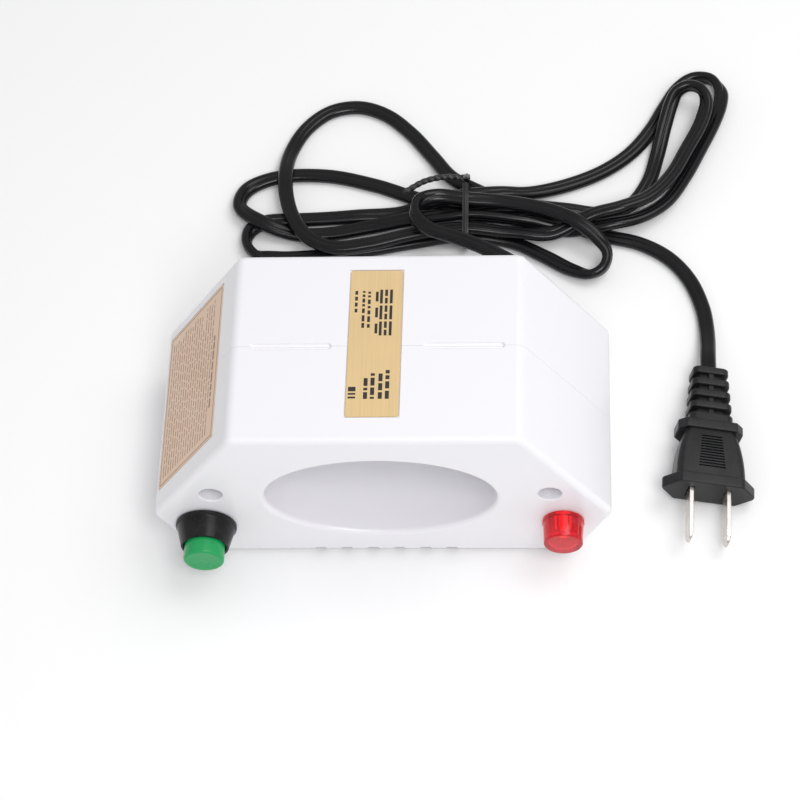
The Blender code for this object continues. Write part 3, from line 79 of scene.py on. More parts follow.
# The cord's free route in millimetres: out of the case, to and fro through the tie, round the wide arch
# on the left, under the bundle and on to the plug.
CORD_ROUTE: tuple[tuple[float, float, float], ...] = (
    (52, 58, 18), (49.5, 64.5, 16.8), (44, 70, 15.8), (37, 75.5, 14.6), (29, 80.8, 13.7),
    (19.5, 85.4, 13.2), (11.4, 89, 13), (6.6, 95, 12.6), (7.4, 101, 12), (13.6, 104.4, 11),
    (24.5, 103.6, 10.3), (37, 102.8, 9.6), (49, 100, 10.2), (57.4, 96.6, 11), (65, 92.2, 11),
    (71.8, 86.8, 9.2), (75.2, 81.4, 6.9), (73.8, 76.6, 5.2), (69.2, 74.6, 3.8), (62.4, 77.4, 2.6),
    (53, 83.6, 1.9), (42, 89.5, 2), (24.5, 91.8, 3.8), (6, 90.4, 2), (-13, 87, 1.8), (-31, 84.6, 1.8),
    (-44, 83.9, 1.8), (-50.8, 85.2, 1.8), (-54.6, 89.8, 1.8), (-54, 95.4, 1.8), (-49.2, 99.4, 1.8),
    (-42.4, 100.6, 1.8), (-34, 101, 1.8), (-16, 102, 1.8), (2, 103, 2.4), (13.5, 105.6, 6.8),
    (24.5, 107.6, 6.8), (37, 109, 6.4), (48, 111.4, 3), (61, 115.4, 1.8), (74, 121.4, 1.8),
    (84.5, 129.8, 1.8), (92, 140, 1.8), (97.6, 151, 1.8), (102.6, 159.4, 2), (108.6, 163.6, 2.6),
    (114.6, 162.8, 3.2), (118, 157.4, 3.7), (117.6, 150.4, 3.9), (114.6, 141, 4), (109.6, 129.6, 4),
    (103.6, 116.6, 4.4), (96.4, 104.8, 5.2), (87, 97.6, 6.2), (77, 94.6, 6.8), (68, 93.7, 5.3),
    (61, 94.1, 3.7), (54, 95, 4.2), (48, 96.2, 5.2), (42, 97.2, 6), (24.5, 98.8, 6.7), (7, 98.4, 6),
    (-10, 96.6, 3.2), (-25, 94.6, 1.8), (-38, 94.2, 2.8), (-50, 98, 5.4), (-58, 106, 3.4),
    (-56, 114.6, 1.8), (-45, 120.2, 1.8), (-27, 120.8, 1.8), (-9, 116.2, 1.8), (7, 109.8, 1.8),
    (24.5, 104, 3.1), (38, 103.2, 5.4), (49, 103, 5.6), (61, 102, 5.4), (74, 101.8, 3), (84, 106.4, 1.8),
    (90.4, 116, 1.8), (94, 128, 2.4), (97, 140, 5), (99.6, 148.2, 7.8), (102, 152.9, 8.9),
    (106.2, 154.7, 9.7), (110.4, 152.9, 9.9), (112.2, 147.6, 9.4), (110.2, 138.6, 8.8), (104.2, 125.6, 8.6),
    (98.6, 114.4, 8.8), (90.6, 104.6, 9.8), (81, 99.4, 10.8), (70, 97, 9.2), (62.6, 93.8, 7.4), (55, 91, 6),
    (40, 91.9, 5.8), (24.5, 93, 7.2), (6, 91.6, 5.6), (-10, 87.6, 5.4), (-23, 86.2, 5.4), (-32, 90.2, 5.9),
    (-37.6, 98, 6.2), (-40.8, 108, 5.9), (-41.8, 119, 5.8), (-40.4, 132, 2.6), (-35, 143.4, 1.8),
    (-26.5, 150.8, 1.8), (-16, 152.6, 1.8), (-6, 148.8, 1.8), (3.5, 140, 1.8), (12, 128.5, 2.2),
    (19, 118.5, 3.2), (27.5, 112.8, 3.2), (37, 108.8, 1.8), (48, 104, 1.8), (62, 97.4, 1.8),
    (75, 92.4, 1.8), (87, 89, 1.8), (97, 82.6, 1.8), (104.2, 73, 1.8), (108.4, 61, 1.9), (109.5, 52, 2.7),
    (109.6, 44, 4.9), (109.3, 36.5, 7.5),
)

# The tie's wire in millimetres: its tail, then once round the bundle.
TIE_ROUTE: tuple[tuple[float, float, float], ...] = (
    (3, 103.5, 15), (10, 108.5, 14.6), (17, 111, 13.6), (23.2, 111.5, 12.6), (24.5, 108.5, 13),
    (24.6, 103.2, 13.3), (24.6, 98, 11.4), (24.6, 91.4, 10.2), (24.6, 87.8, 7.2), (24.6, 87.4, 3),
    (24.6, 90.6, 0.85), (24.6, 98, 0.8), (24.6, 105, 0.7), (24.6, 112.5, 0.8), (24.6, 117.6, 1.1),
    (24.6, 119, 3.6), (24.6, 115.8, 7.6), (24.6, 112.4, 10.8),
)


# ---------------------------------------------------------------- outlines


def circle(radius: float, count: int, x: float = 0.0, z: float = 0.0) -> Outline:
    """A circle's corner points, counter-clockwise."""
    return ellipse(radius, radius, count, x, z)


def ellipse(half_width: float, half_height: float, count: int, x: float = 0.0, z: float = 0.0) -> Outline:
    """An ellipse's corner points, counter-clockwise."""
    angles = [2 * pi * i / count for i in range(count)]
    return [(x + half_width * cos(a), z + half_height * sin(a)) for a in angles]


def inset_polygon(corners: Outline, distance: float) -> Outline:
    """Move every side of a convex polygon inwards.

    Args:
        corners: Points, counter-clockwise.
        distance: How far each side moves.

    Returns:
        The corners of the smaller polygon.
    """
    moved = []
    count = len(corners)
    for i in range(count):
        before, here, after = (Vector(corners[(i + k) % count]) for k in (-1, 0, 1))
        into, out = (here - before).normalized(), (after - here).normalized()
        bisector = Vector((-into.y - out.y, into.x + out.x)).normalized()
        reach = distance / max(bisector.dot(Vector((-into.y, into.x))), 0.1)
        moved.append(tuple(here + bisector * reach))
    return moved


def rounded_polygon(corners: Outline, radius: float, steps: int = 8) -> Outline:
    """Round the corners of a convex polygon with arcs.

    Args:
        corners: Points, counter-clockwise.
        radius: Radius of the arcs.
        steps: Straight pieces in each arc.

    Returns:
        The rounded outline.
    """
    outline = []
    count = len(corners)
    for i in range(count):
        before, here, after = (Vector(corners[(i + k) % count]) for k in (-1, 0, 1))
        back, ahead = (before - here).normalized(), (after - here).normalized()
        half = back.angle(ahead) / 2
        centre = here + (back + ahead).normalized() * (radius / sin(half))
        start = here + back * (radius / max(np.tan(half), 1e-6)) - centre
        end = here + ahead * (radius / max(np.tan(half), 1e-6)) - centre
        sweep = start.angle(end)
        for step in range(steps + 1):
            share = step / steps
            point = start * sin((1 - share) * sweep) + end * sin(share * sweep)
            outline.append(tuple(centre + point / sin(sweep)))
    return outline


def rounded_rectangle(
    half_width: float, half_height: float, radius: float, x: float = 0.0, z: float = 0.0, steps: int = 6
) -> Outline:
    """A rectangle with round corners, counter-clockwise.

    Args:
        half_width: Half its width.
        half_height: Half its height.
        radius: Radius of its corners.
        x: Its middle, sideways.
        z: Its middle, upwards.
        steps: Straight pieces in each corner.

    Returns:
        The outline.
    """
    corners = [(x - half_width, z - half_height), (x + half_width, z - half_height)]
    corners += [(x + half_width, z + half_height), (x - half_width, z + half_height)]
    return rounded_polygon(corners, radius, steps)


def at_y(outline: Outline, y: float) -> Ring:
    """Stand an outline upright at one distance along Y."""
    return [(x, y, z) for x, z in outline]


def quarter_round(radius: float, steps: int = 6) -> list[tuple[float, float]]:
    """Pairs of inset and depth along a quarter circle, from the face to the side."""
    angles = [pi / 2 * step / steps for step in range(steps + 1)]
    return [(radius * (1 - sin(a)), radius * (1 - cos(a))) for a in angles]


def smooth_line(points: Sequence[Sequence[float]], step: float) -> np.ndarray:
    """Run a smooth curve through points and divide it evenly.

    Args:
        points: The points it passes through.
        step: Distance between two points of the result.

    Returns:
        Points of the curve, one row each.
    """
    given = np.asarray(points, float)
    padded = np.vstack([2 * given[0] - given[1], given, 2 * given[-1] - given[-2]])
    fine = []
    for a, b, c, d in zip(padded, padded[1:], padded[2:], padded[3:]):
        t0 = 0.0
        t1 = t0 + sqrt(np.linalg.norm(b - a))
        t2 = t1 + sqrt(np.linalg.norm(c - b))
        t3 = t2 + sqrt(np.linalg.norm(d - c))
        for t in np.linspace(t1, t2, 16, endpoint=False):
            ab = ((t1 - t) * a + (t - t0) * b) / (t1 - t0)
            bc = ((t2 - t) * b + (t - t1) * c) / (t2 - t1)
            cd = ((t3 - t) * c + (t - t2) * d) / (t3 - t2)
            abc = ((t2 - t) * ab + (t - t0) * bc) / (t2 - t0)
            bcd = ((t3 - t) * bc + (t - t1) * cd) / (t3 - t1)
            fine.append(((t2 - t) * abc + (t - t1) * bcd) / (t2 - t1))
    fine.append(given[-1])
    fine = np.array(fine)
    run = np.concatenate([[0.0], np.cumsum(np.linalg.norm(np.diff(fine, axis=0), axis=1))])
    count = max(2, ceil(run[-1] / step) + 1)
    stations = np.linspace(0.0, run[-1], count)
    return np.stack([np.interp(stations, run, fine[:, axis]) for axis in range(3)], axis=1)


def blurred(values: np.ndarray, spread: float) -> np.ndarray:
    """Smooth rows of numbers along their first axis with a bell curve.

    Args:
        values: One row for each station.
        spread: Width of the bell curve, in stations.

    Returns:
        The smoothed rows.
    """
    reach = int(3 * spread) + 1
    weights = np.exp(-0.5 * (np.arange(-reach, reach + 1) / spread) ** 2)
    weights /= weights.sum()
    padded = np.pad(values, [(reach, reach)] + [(0, 0)] * (values.ndim - 1), mode="edge")
    return np.stack([(padded[i : i + 2 * reach + 1].T * weights).T.sum(0) for i in range(len(values))])


# ---------------------------------------------------------------- mesh work


class Maker:
    """Ways of making the pieces' meshes."""

    @staticmethod
    def mesh(
        name: str, points: Iterable[Sequence[float]], faces: Iterable[Sequence[int]]
    ) -> bpy.types.Object:
        """Turn points and faces into an object with outward faces.

        Args:
            name: The object's name.
            points: Its corner points.
            faces: The point numbers of each face.

        Returns:
            The new object.
        """
        mesh = bpy.data.meshes.new(name)
        mesh.from_pydata([tuple(p) for p in points], [], [tuple(f) for f in faces])
        shape = bmesh.new()
        shape.from_mesh(mesh)
        bmesh.ops.recalc_face_normals(shape, faces=shape.faces)
        shape.to_mesh(mesh)
        shape.free()
        piece = bpy.data.objects.new(name, mesh)
        bpy.context.scene.collection.objects.link(piece)
        return piece

    @staticmethod
    def loft(name: str, rings: Sequence[Ring], closed: bool = False) -> bpy.types.Object:
        """Skin a row of rings.

        Args:
            name: The object's name.
            rings: Rings with equal point counts.
            closed: True where the last ring meets the first, as in a hollow turned part.

        Returns:
            The new object.
        """
        count = len(rings[0])
        points = [p for ring in rings for p in ring]
        faces = []
        spans = len(rings) if closed else len(rings) - 1
        for r in range(spans):
            near, far = r * count, (r + 1) % len(rings) * count
            for i in range(count):
                after = (i + 1) % count
                faces.append((near + i, near + after, far + after, far + i))
        if not closed:
            faces.append(tuple(range(count))[::-1])
            faces.append(tuple((len(rings) - 1) * count + i for i in range(count)))
        return Maker.mesh(name, points, faces)

    @staticmethod
    def turned(
        name: str, profile: Sequence[tuple[float, float]], x: float, z: float, count: int = 64,
        hollow: bool = False,
    ) -> bpy.types.Object:  # fmt: skip
        """Turn a profile about an axis along Y.

        Args:
            name: The object's name.
            profile: Pairs of radius and Y.
            x: The axis's X.
            z: The axis's Z.
            count: Points round the axis.
            hollow: True where the profile is a closed loop off the axis.

        Returns:
            The new object.
        """
        return Maker.loft(name, [at_y(circle(r, count, x, z), y) for r, y in profile], closed=hollow)

    @staticmethod
    def prism(name: str, outline: Outline, front: float, back: float) -> bpy.types.Object:
        """Stretch an upright outline along Y."""
        return Maker.loft(name, [at_y(outline, front), at_y(outline, back)])

    @staticmethod
    def block(name: str, low: Sequence[float], high: Sequence[float]) -> bpy.types.Object:
        """A plain block, used for cutting and joining only."""
        outline = [(low[0], low[2]), (high[0], low[2]), (high[0], high[2]), (low[0], high[2])]
        return Maker.prism(name, outline, low[1], high[1])

    @staticmethod
    def plate(
        name: str, low: Sequence[float], high: Sequence[float], radius: float, edge: float
    ) -> bpy.types.Object:
        """A thin plate lying flat, with round corners and a chamfered upper edge.

        Args:
            name: The object's name.
            low: Lowest corner.
            high: Highest corner.
            radius: Radius of its corners.
            edge: Chamfer along its upper edge.

        Returns:
            The new object.
        """
        middle = [(a + b) / 2 for a, b in zip(low, high)]
        half = [(b - a) / 2 for a, b in zip(low, high)]
        rings = []
        for inset, z in ((0.0, low[2]), (0.0, high[2] - edge), (edge, high[2])):
            outline = rounded_rectangle(half[0] - inset, half[1] - inset, radius, middle[0], middle[1])
            rings.append([(x, y, z) for x, y in outline])
        return Maker.loft(name, rings)

    @staticmethod
    def combine(target: bpy.types.Object, tools: Sequence[bpy.types.Object], operation: str) -> None:
        """Cut tools from a piece or join them to it, and remove the tools.

        Args:
            target: The piece that changes.
            tools: Closed bodies.
            operation: "DIFFERENCE" or "UNION".
        """
        for tool in tools:
            step = target.modifiers.new(tool.name, "BOOLEAN")
            step.operation, step.solver, step.object = operation, "EXACT", tool
        bpy.context.view_layer.update()
        graph = bpy.context.evaluated_depsgraph_get()
        result = bpy.data.meshes.new_from_object(target.evaluated_get(graph))
        target.modifiers.clear()
        target.data = result
        for tool in tools:
            bpy.data.objects.remove(tool)

    @staticmethod
    def sweep(name: str, line: np.ndarray, thin: np.ndarray, section: Outline) -> bpy.types.Object:
        """Carry a section along a line.

        Args:
            name: The object's name.
            line: Points of the line.
            thin: At each point, the way that the section's second coordinate goes.
            section: The section as pairs across and through.

        Returns:
            The new object.
        """
        ahead = np.gradient(line, axis=0)
        ahead /= np.linalg.norm(ahead, axis=1, keepdims=True)
        through = thin - ahead * (thin * ahead).sum(1, keepdims=True)
        through /= np.linalg.norm(through, axis=1, keepdims=True)
        across = np.cross(ahead, through)
        rings = [[tuple(p + a * u + b * v) for u, v in section] for p, a, b in zip(line, across, through)]
        return Maker.loft(name, rings)

    @staticmethod
    def smooth(piece: bpy.types.Object, angle: float = 32.0) -> None:
        """Shade a piece smooth between its sharp edges, with flat faces kept flat.

        Args:
            piece: The piece.
            angle: Edges sharper than this, in degrees, stay sharp.
        """
        shape = bmesh.new()
        shape.from_mesh(piece.data)
        bmesh.ops.remove_doubles(shape, verts=shape.verts, dist=0.002 * MM)
        bmesh.ops.dissolve_degenerate(shape, edges=shape.edges, dist=0.002 * MM)
        shape.to_mesh(piece.data)
        shape.free()
        piece.data.polygons.foreach_set("use_smooth", [True] * len(piece.data.polygons))
        piece.data.set_sharp_from_angle(angle=radians(angle))
        weighted = piece.modifiers.new("flat_faces", "WEIGHTED_NORMAL")
        weighted.keep_sharp = True
        weighted.weight = 90


# ---------------------------------------------------------------- finishes


class Effect(Enum):
    """Surface effects that several finishes share, each one node group."""

    GRAIN = "moulding grain"
    DRIFT = "colour drift"
    MARKS = "handling marks"
    DUST = "settled dust"
    WEAR = "worn edges"
    STREAKS = "brushed streaks"


class Pattern(Enum):
    """Details that belong to one kind of surface only."""

    PLAIN = "plain"
    BRUSHED_Y = "brushed along Y"
    WOUND = "wound wire"
    BANDS = "painted bands"
    TWINED = "drawn lengthwise"


class Graph:
    """A short way to lay out shader nodes in one tree."""

    def __init__(self, tree: bpy.types.NodeTree) -> None:
        """Start on a node tree."""
        self.tree = tree

    def add(self, kind: str, values: dict | None = None, **settings: object) -> bpy.types.Node:
        """Place a node.

        Args:
            kind: The node's type.
            values: Input names or numbers with a value, or with the output that feeds them.
            settings: Properties of the node.

        Returns:
            The node.
        """
        node = self.tree.nodes.new(kind)
        for key, value in settings.items():
            setattr(node, key, value)
        for key, value in (values or {}).items():
            if isinstance(value, bpy.types.NodeSocket):
                self.tree.links.new(value, node.inputs[key])
            else:
                node.inputs[key].default_value = value
        return node

    def math(self, operation: str, a: object, b: object = 0.0, clamp: bool = False) -> bpy.types.NodeSocket:
        """One sum of two values."""
        return self.add("ShaderNodeMath", {0: a, 1: b}, operation=operation, use_clamp=clamp).outputs[0]

    def span(
        self, value: object, low: float, high: float, to_low: float = 0.0, to_high: float = 1.0
    ) -> bpy.types.NodeSocket:
        """Bring a value from one range to another and hold it there."""
        ranges = {0: value, 1: low, 2: high, 3: to_low, 4: to_high}
        return self.add("ShaderNodeMapRange", ranges, clamp=True).outputs[0]

    def mix(self, share: object, a: object, b: object) -> bpy.types.NodeSocket:
        """Mix two colours."""
        return self.add("ShaderNodeMix", {0: share, 6: a, 7: b}, data_type="RGBA").outputs[2]

    def noise(
        self, place: object, scale: object, detail: float = 2.0, rough: float = 0.5
    ) -> bpy.types.NodeSocket:
        """Noise over a place."""
        values = {"Vector": place, "Scale": scale, "Detail": detail, "Roughness": rough}
        return self.add("ShaderNodeTexNoise", values).outputs[0]

    def place(self, stretch: tuple[float, float, float] | None = None) -> bpy.types.NodeSocket:
        """The piece's own coordinates, stretched where asked.

        Args:
            stretch: Factors along X, Y and Z.

        Returns:
            The output that gives the place.
        """
        own = self.add("ShaderNodeTexCoord").outputs["Object"]
        if stretch is None:
            return own
        return self.add("ShaderNodeMapping", {"Vector": own, "Scale": stretch}).outputs[0]

    def effect(self, kind: Effect, values: dict) -> bpy.types.NodeSocket:
        """Place one of the shared effects and give its only output."""
        return self.add("ShaderNodeGroup", values, node_tree=EffectShelf.get(kind)).outputs[0]


class EffectShelf:
    """Builds each shared effect's node group once."""

    made: dict[Effect, bpy.types.NodeTree] = {}

    @classmethod
    def get(cls, kind: Effect) -> bpy.types.NodeTree:
        """The node group of an effect.

        Args:
            kind: The effect.

        Returns:
            Its node group.
        """
        if kind not in cls.made:
            cls.made[kind] = getattr(cls, kind.name.lower())(kind.value)
        return cls.made[kind]

    @staticmethod
    def start(
        name: str, inputs: dict[str, object], output: str
    ) -> tuple[Graph, bpy.types.Node, bpy.types.Node]:
        """Make an empty group.

        Args:
            name: The group's name.
            inputs: Input names with their first values; a colour is a tuple.
            output: Name of its output, a colour where the name is Colour.

        Returns:
            The graph, the node of its inputs and the node of its output.
        """
        tree = bpy.data.node_groups.new(name, "ShaderNodeTree")
        for key, value in inputs.items():
            kind = "NodeSocketColor" if isinstance(value, tuple) else "NodeSocketFloat"
            socket = tree.interface.new_socket(name=key, in_out="INPUT", socket_type=kind)
            socket.default_value = value
        kind = "NodeSocketColor" if output == "Colour" else "NodeSocketFloat"
        tree.interface.new_socket(name=output, in_out="OUTPUT", socket_type=kind)
        graph = Graph(tree)
        return graph, graph.add("NodeGroupInput"), graph.add("NodeGroupOutput")

    @classmethod
    def grain(cls, name: str) -> bpy.types.NodeTree:
        """Fine spark-eroded grain as a height.

        Args:
            name: The group's name.

        Returns:
            The node group.
        """
        graph, given, out = cls.start(name, {"Scale": 1500.0}, "Height")
        place = graph.place()
        fine = graph.noise(place, given.outputs["Scale"], 3.0, 0.6)
        cells = {"Vector": place, "Scale": given.outputs["Scale"]}
        pits = graph.add("ShaderNodeTexVoronoi", cells).outputs[0]
        height = graph.math("ADD", graph.math("MULTIPLY", fine, 0.7), graph.math("MULTIPLY", pits, 0.3))
        graph.tree.links.new(height, out.inputs[0])
        return graph.tree

    @classmethod
    def drift(cls, name: str) -> bpy.types.NodeTree:
        """A colour that wanders slightly over the piece.

        Args:
            name: The group's name.

        Returns:
            The node group.
        """
        inputs = {"Colour": (0.8, 0.8, 0.8, 1.0), "Amount": 0.04, "Scale": 25.0}
        graph, given, out = cls.start(name, inputs, "Colour")
        broad = graph.noise(graph.place(), given.outputs["Scale"], 3.0)
        swing = graph.math("MULTIPLY", graph.math("SUBTRACT", broad, 0.5), given.outputs["Amount"])
        value = graph.math("ADD", 1.0, graph.math("MULTIPLY", swing, 2.0))
        warmth = graph.math("ADD", 0.5, graph.math("MULTIPLY", swing, 0.12))
        values = {"Hue": warmth, "Value": value, "Color": given.outputs["Colour"]}
        shifted = graph.add("ShaderNodeHueSaturation", values)
        graph.tree.links.new(shifted.outputs[0], out.inputs[0])
        return graph.tree

    @classmethod
    def marks(cls, name: str) -> bpy.types.NodeTree:
        """Smudges and hairline scratches as a mask.

        Args:
            name: The group's name.

        Returns:
            The node group.
        """
        graph, given, out = cls.start(name, {"Amount": 1.0}, "Mask")
        smudge = graph.span(graph.noise(graph.place(), 60.0, 4.0, 0.6), 0.45, 0.75)
        hairs = graph.noise(graph.place((40.0, 900.0, 900.0)), 1.0, 2.0)
        crossing = graph.noise(graph.place((800.0, 60.0, 700.0)), 1.0, 2.0)
        lines = graph.span(graph.math("MAXIMUM", hairs, crossing), 0.72, 0.8, 0.0, 0.7)
        both = graph.math("MAXIMUM", smudge, lines)
        graph.tree.links.new(graph.math("MULTIPLY", both, given.outputs["Amount"]), out.inputs[0])
        return graph.tree

    @classmethod
    def dust(cls, name: str) -> bpy.types.NodeTree:
        """Specks that settle on what faces up, as a mask.

        Args:
            name: The group's name.

        Returns:
            The node group.
        """
        graph, given, out = cls.start(name, {"Amount": 0.1}, "Mask")
        normal = graph.add("ShaderNodeNewGeometry").outputs["Normal"]
        up = graph.span(graph.add("ShaderNodeSeparateXYZ", {0: normal}).outputs[2], 0.2, 0.9)
        specks = graph.span(graph.noise(graph.place(), 2600.0, 2.0, 0.7), 0.62, 0.74)
        film = graph.span(graph.noise(graph.place(), 90.0, 4.0), 0.35, 0.8, 0.0, 0.35)
        amount = graph.math("MULTIPLY", graph.math("MAXIMUM", specks, film), given.outputs["Amount"])
        graph.tree.links.new(graph.math("MULTIPLY", amount, up), out.inputs[0])
        return graph.tree

    @classmethod
    def wear(cls, name: str) -> bpy.types.NodeTree:
        """Rubbed edges as a mask.

        Args:
            name: The group's name.

        Returns:
            The node group.
        """
        graph, given, out = cls.start(name, {"Amount": 0.5, "Radius": 0.3 * MM}, "Mask")
        rounded = graph.add("ShaderNodeBevel", {"Radius": given.outputs["Radius"]}, samples=4).outputs[0]
        true = graph.add("ShaderNodeNewGeometry").outputs["Normal"]
        facing = graph.add("ShaderNodeVectorMath", {0: rounded, 1: true}, operation="DOT_PRODUCT")
        edge = graph.span(graph.math("SUBTRACT", 1.0, facing.outputs["Value"]), 0.02, 0.2)
        broken = graph.span(graph.noise(graph.place(), 700.0, 4.0), 0.35, 0.65)
        amount = graph.math("MULTIPLY", graph.math("MULTIPLY", edge, broken), given.outputs["Amount"])
        graph.tree.links.new(amount, out.inputs[0])
        return graph.tree

    @classmethod
    def streaks(cls, name: str) -> bpy.types.NodeTree:
        """Fine lines drawn along Y, as a height.

        Args:
            name: The group's name.

        Returns:
            The node group.
        """
        graph, given, out = cls.start(name, {"Fineness": 1.0}, "Height")
        wide = graph.noise(graph.place((2500.0, 18.0, 2500.0)), given.outputs["Fineness"], 3.0, 0.6)
        graph.tree.links.new(wide, out.inputs[0])
        return graph.tree


@dataclass(frozen=True)
class Finish:
    """One surface finish: its colour, how it shines and the traces of making and use."""

    name: str
    colour: Colour
    roughness: float
    metallic: float = 0.0
    coat: float = 0.0
    sheen: float = 0.0
    specular: float = 0.5
    grain: float = 1500.0  # grains over a metre
    depth: float = 0.01 * MM
    drift: float = 0.03
    marks: float = 0.12
    dust: float = 0.1
    dust_colour: Colour = (0.55, 0.53, 0.5)
    wear: float = 0.0
    wear_colour: Colour = (0.5, 0.5, 0.5)
    transmission: float = 0.0
    ior: float = 1.46
    glow: float = 0.0
    glow_colour: Colour = (1.0, 1.0, 1.0)
    subsurface: float = 0.0
    pattern: Pattern = Pattern.PLAIN
    slot: str = ""

    def build(self) -> bpy.types.Material:
        """Lay out the material's nodes.

        Returns:
            The material.
        """
        made = bpy.data.materials.new(self.name)
        made.use_nodes = True
        made.node_tree.nodes.clear()
        graph = Graph(made.node_tree)
        out = graph.add("ShaderNodeOutputMaterial")
        shader = graph.add("ShaderNodeBsdfPrincipled", self.steady_values())
        graph.tree.links.new(shader.outputs[0], out.inputs[0])
        colour, height = self.surface(graph)
        marks = graph.effect(Effect.MARKS, {"Amount": self.marks})
        rough = graph.math("ADD", self.roughness, marks, clamp=True)
        if self.dust:
            dust = graph.effect(Effect.DUST, {"Amount": self.dust})
            colour = graph.mix(dust, colour, (*self.dust_colour, 1.0))
            rough = graph.math("ADD", rough, graph.math("MULTIPLY", dust, 0.5), clamp=True)
        if self.wear:
            wear = graph.effect(Effect.WEAR, {"Amount": self.wear})
            colour = graph.mix(wear, colour, (*self.wear_colour, 1.0))
            rough = graph.math("ADD", rough, graph.math("MULTIPLY", wear, 0.15), clamp=True)
        bump = graph.add("ShaderNodeBump", {"Strength": 1.0, "Distance": self.depth, "Height": height})
        for output, entry in ((colour, "Base Color"), (rough, "Roughness"), (bump.outputs[0], "Normal")):
            graph.tree.links.new(output, shader.inputs[entry])
        return made

    def steady_values(self) -> dict[str, object]:
        """The shader's values that are the same all over the piece.

        Returns:
            Input names with their values.
        """
        values: dict[str, object] = {"Metallic": self.metallic, "IOR": self.ior, "Coat Weight": self.coat}
        values |= {"Coat Roughness": 0.12, "Sheen Weight": self.sheen, "Specular IOR Level": self.specular}
        values |= {"Transmission Weight": self.transmission, "Emission Strength": self.glow}
        values |= {"Emission Color": (*self.glow_colour, 1.0), "Subsurface Weight": self.subsurface}
        values |= {"Subsurface Radius": (1.0, 0.9, 0.9), "Subsurface Scale": 0.6 * MM}
        return values

    def surface(self, graph: Graph) -> tuple[object, object]:
        """The base colour and the surface height.

        Args:
            graph: The material's nodes.

        Returns:
            The outputs that give the colour and the height.
        """
        base = (*self.colour, 1.0)
        colour = graph.effect(Effect.DRIFT, {"Colour": base, "Amount": self.drift, "Scale": 25.0})
        height = graph.effect(Effect.GRAIN, {"Scale": self.grain})
        if self.pattern is Pattern.BRUSHED_Y:
            height = graph.effect(Effect.STREAKS, {"Fineness": 1.0})
            tone = graph.span(height, 0.35, 0.65, 0.0, 0.35)
            colour = graph.mix(tone, colour, (*[c * 0.72 for c in self.colour], 1.0))
        elif self.pattern is Pattern.WOUND:
            wires = {"Vector": graph.place(), "Scale": 698.0, "Distortion": 0.6, "Detail": 1.0}
            height = graph.add("ShaderNodeTexWave", wires, bands_direction="Y").outputs[1]
            # Painted shade: the colour darkens in the grooves between the turns.
            shade = graph.span(height, 0.0, 0.5, 0.75, 0.0)
            colour = graph.mix(shade, colour, (*[c * 0.25 for c in self.colour], 1.0))
        elif self.pattern is Pattern.BANDS:
            colour = self.bands(graph, colour)
        elif self.pattern is Pattern.TWINED:
            lengthwise = graph.noise(graph.place((1400.0, 1400.0, 300.0)), 1.0, 2.0)
            height = graph.math("ADD", graph.math("MULTIPLY", height, 0.5), lengthwise)
        return colour, height

    def bands(self, graph: Graph, colour: object) -> object:
        """Painted rings round a resistor's body.

        Args:
            graph: The material's nodes.
            colour: The body's colour.

        Returns:
            The output with the rings.
        """
        low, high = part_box("lamp_resistor")
        along = graph.add("ShaderNodeSeparateXYZ", {0: graph.place()}).outputs[1]
        share = graph.span(along, low.y, high.y)
        half_ring = 0.018  # as a share of the body's length
        brown, black, gold = (0.3, 0.02, 0.01), (0.02, 0.02, 0.02), (0.6, 0.4, 0.02)
        for middle, paint in ((0.36, brown), (0.44, black), (0.52, gold)):
            apart = graph.math("ABSOLUTE", graph.math("SUBTRACT", share, middle))
            ring = graph.math("LESS_THAN", apart, half_ring)
            colour = graph.mix(ring, colour, (*paint, 1.0))
        return colour


CASE_WHITE = Finish(
    "case white", (0.87, 0.86, 0.895), 0.25, coat=0.15, grain=2200.0, depth=0.003 * MM, drift=0.002,
    marks=0.02, dust=0.008, dust_colour=(0.75, 0.73, 0.7), subsurface=0.04, slot="white_plastic",
)  # fmt: skip
FOOT_RUBBER = Finish("foot rubber", (0.03, 0.03, 0.03), 0.75, sheen=0.2, depth=0.03 * MM, slot="rubber")
BEZEL_BLACK = Finish(
    "bezel black", (0.007, 0.007, 0.008), 0.24, specular=0.3, wear=0.35, wear_colour=(0.1, 0.1, 0.1),
    depth=0.006 * MM, slot="black_plastic",
)  # fmt: skip
CAP_GREEN = Finish(
    "cap green", (0.008, 0.34, 0.095), 0.24, coat=0.08, specular=0.35, subsurface=0.1, wear=0.25,
    wear_colour=(0.2, 0.6, 0.35), depth=0.005 * MM, dust=0.1, slot="green_plastic",
)  # fmt: skip
# The lens's faint red glow is painted glow: emission on the lens itself, which is no lamp.
LENS_RED = Finish(
    "lens red", (0.72, 0.004, 0.022), 0.07, transmission=0.85, ior=1.49, glow=0.06,
    glow_colour=(0.9, 0.01, 0.04), grain=900.0, depth=0.002 * MM, marks=0.06, dust=0.06,
    dust_colour=(0.9, 0.3, 0.35), slot="red_lens",
)  # fmt: skip
BULB_NEON = Finish(
    "bulb neon", (1.0, 0.55, 0.35), 0.06, glow=0.9, glow_colour=(1.0, 0.2, 0.12), dust=0.0, slot="bulb_glass"
)
CORD_PVC = Finish(
    "cord PVC", (0.005, 0.005, 0.006), 0.2, specular=0.36, drift=0.1, marks=0.1, dust=0.03, depth=0.02 * MM,
    dust_colour=(0.3, 0.3, 0.32), pattern=Pattern.TWINED, slot="black_pvc",
)  # fmt: skip
PLUG_PVC = Finish(
    "plug PVC", (0.009, 0.009, 0.01), 0.34, specular=0.36, grain=2400.0, depth=0.03 * MM, drift=0.12,
    marks=0.1, dust=0.2, dust_colour=(0.24, 0.24, 0.25), wear=0.5, wear_colour=(0.09, 0.09, 0.1),
    slot="black_pvc",
)  # fmt: skip
TIE_PVC = Finish(
    "tie PVC", (0.014, 0.014, 0.016), 0.38, wear=0.4, wear_colour=(0.12, 0.12, 0.12), slot="black_pvc"
)
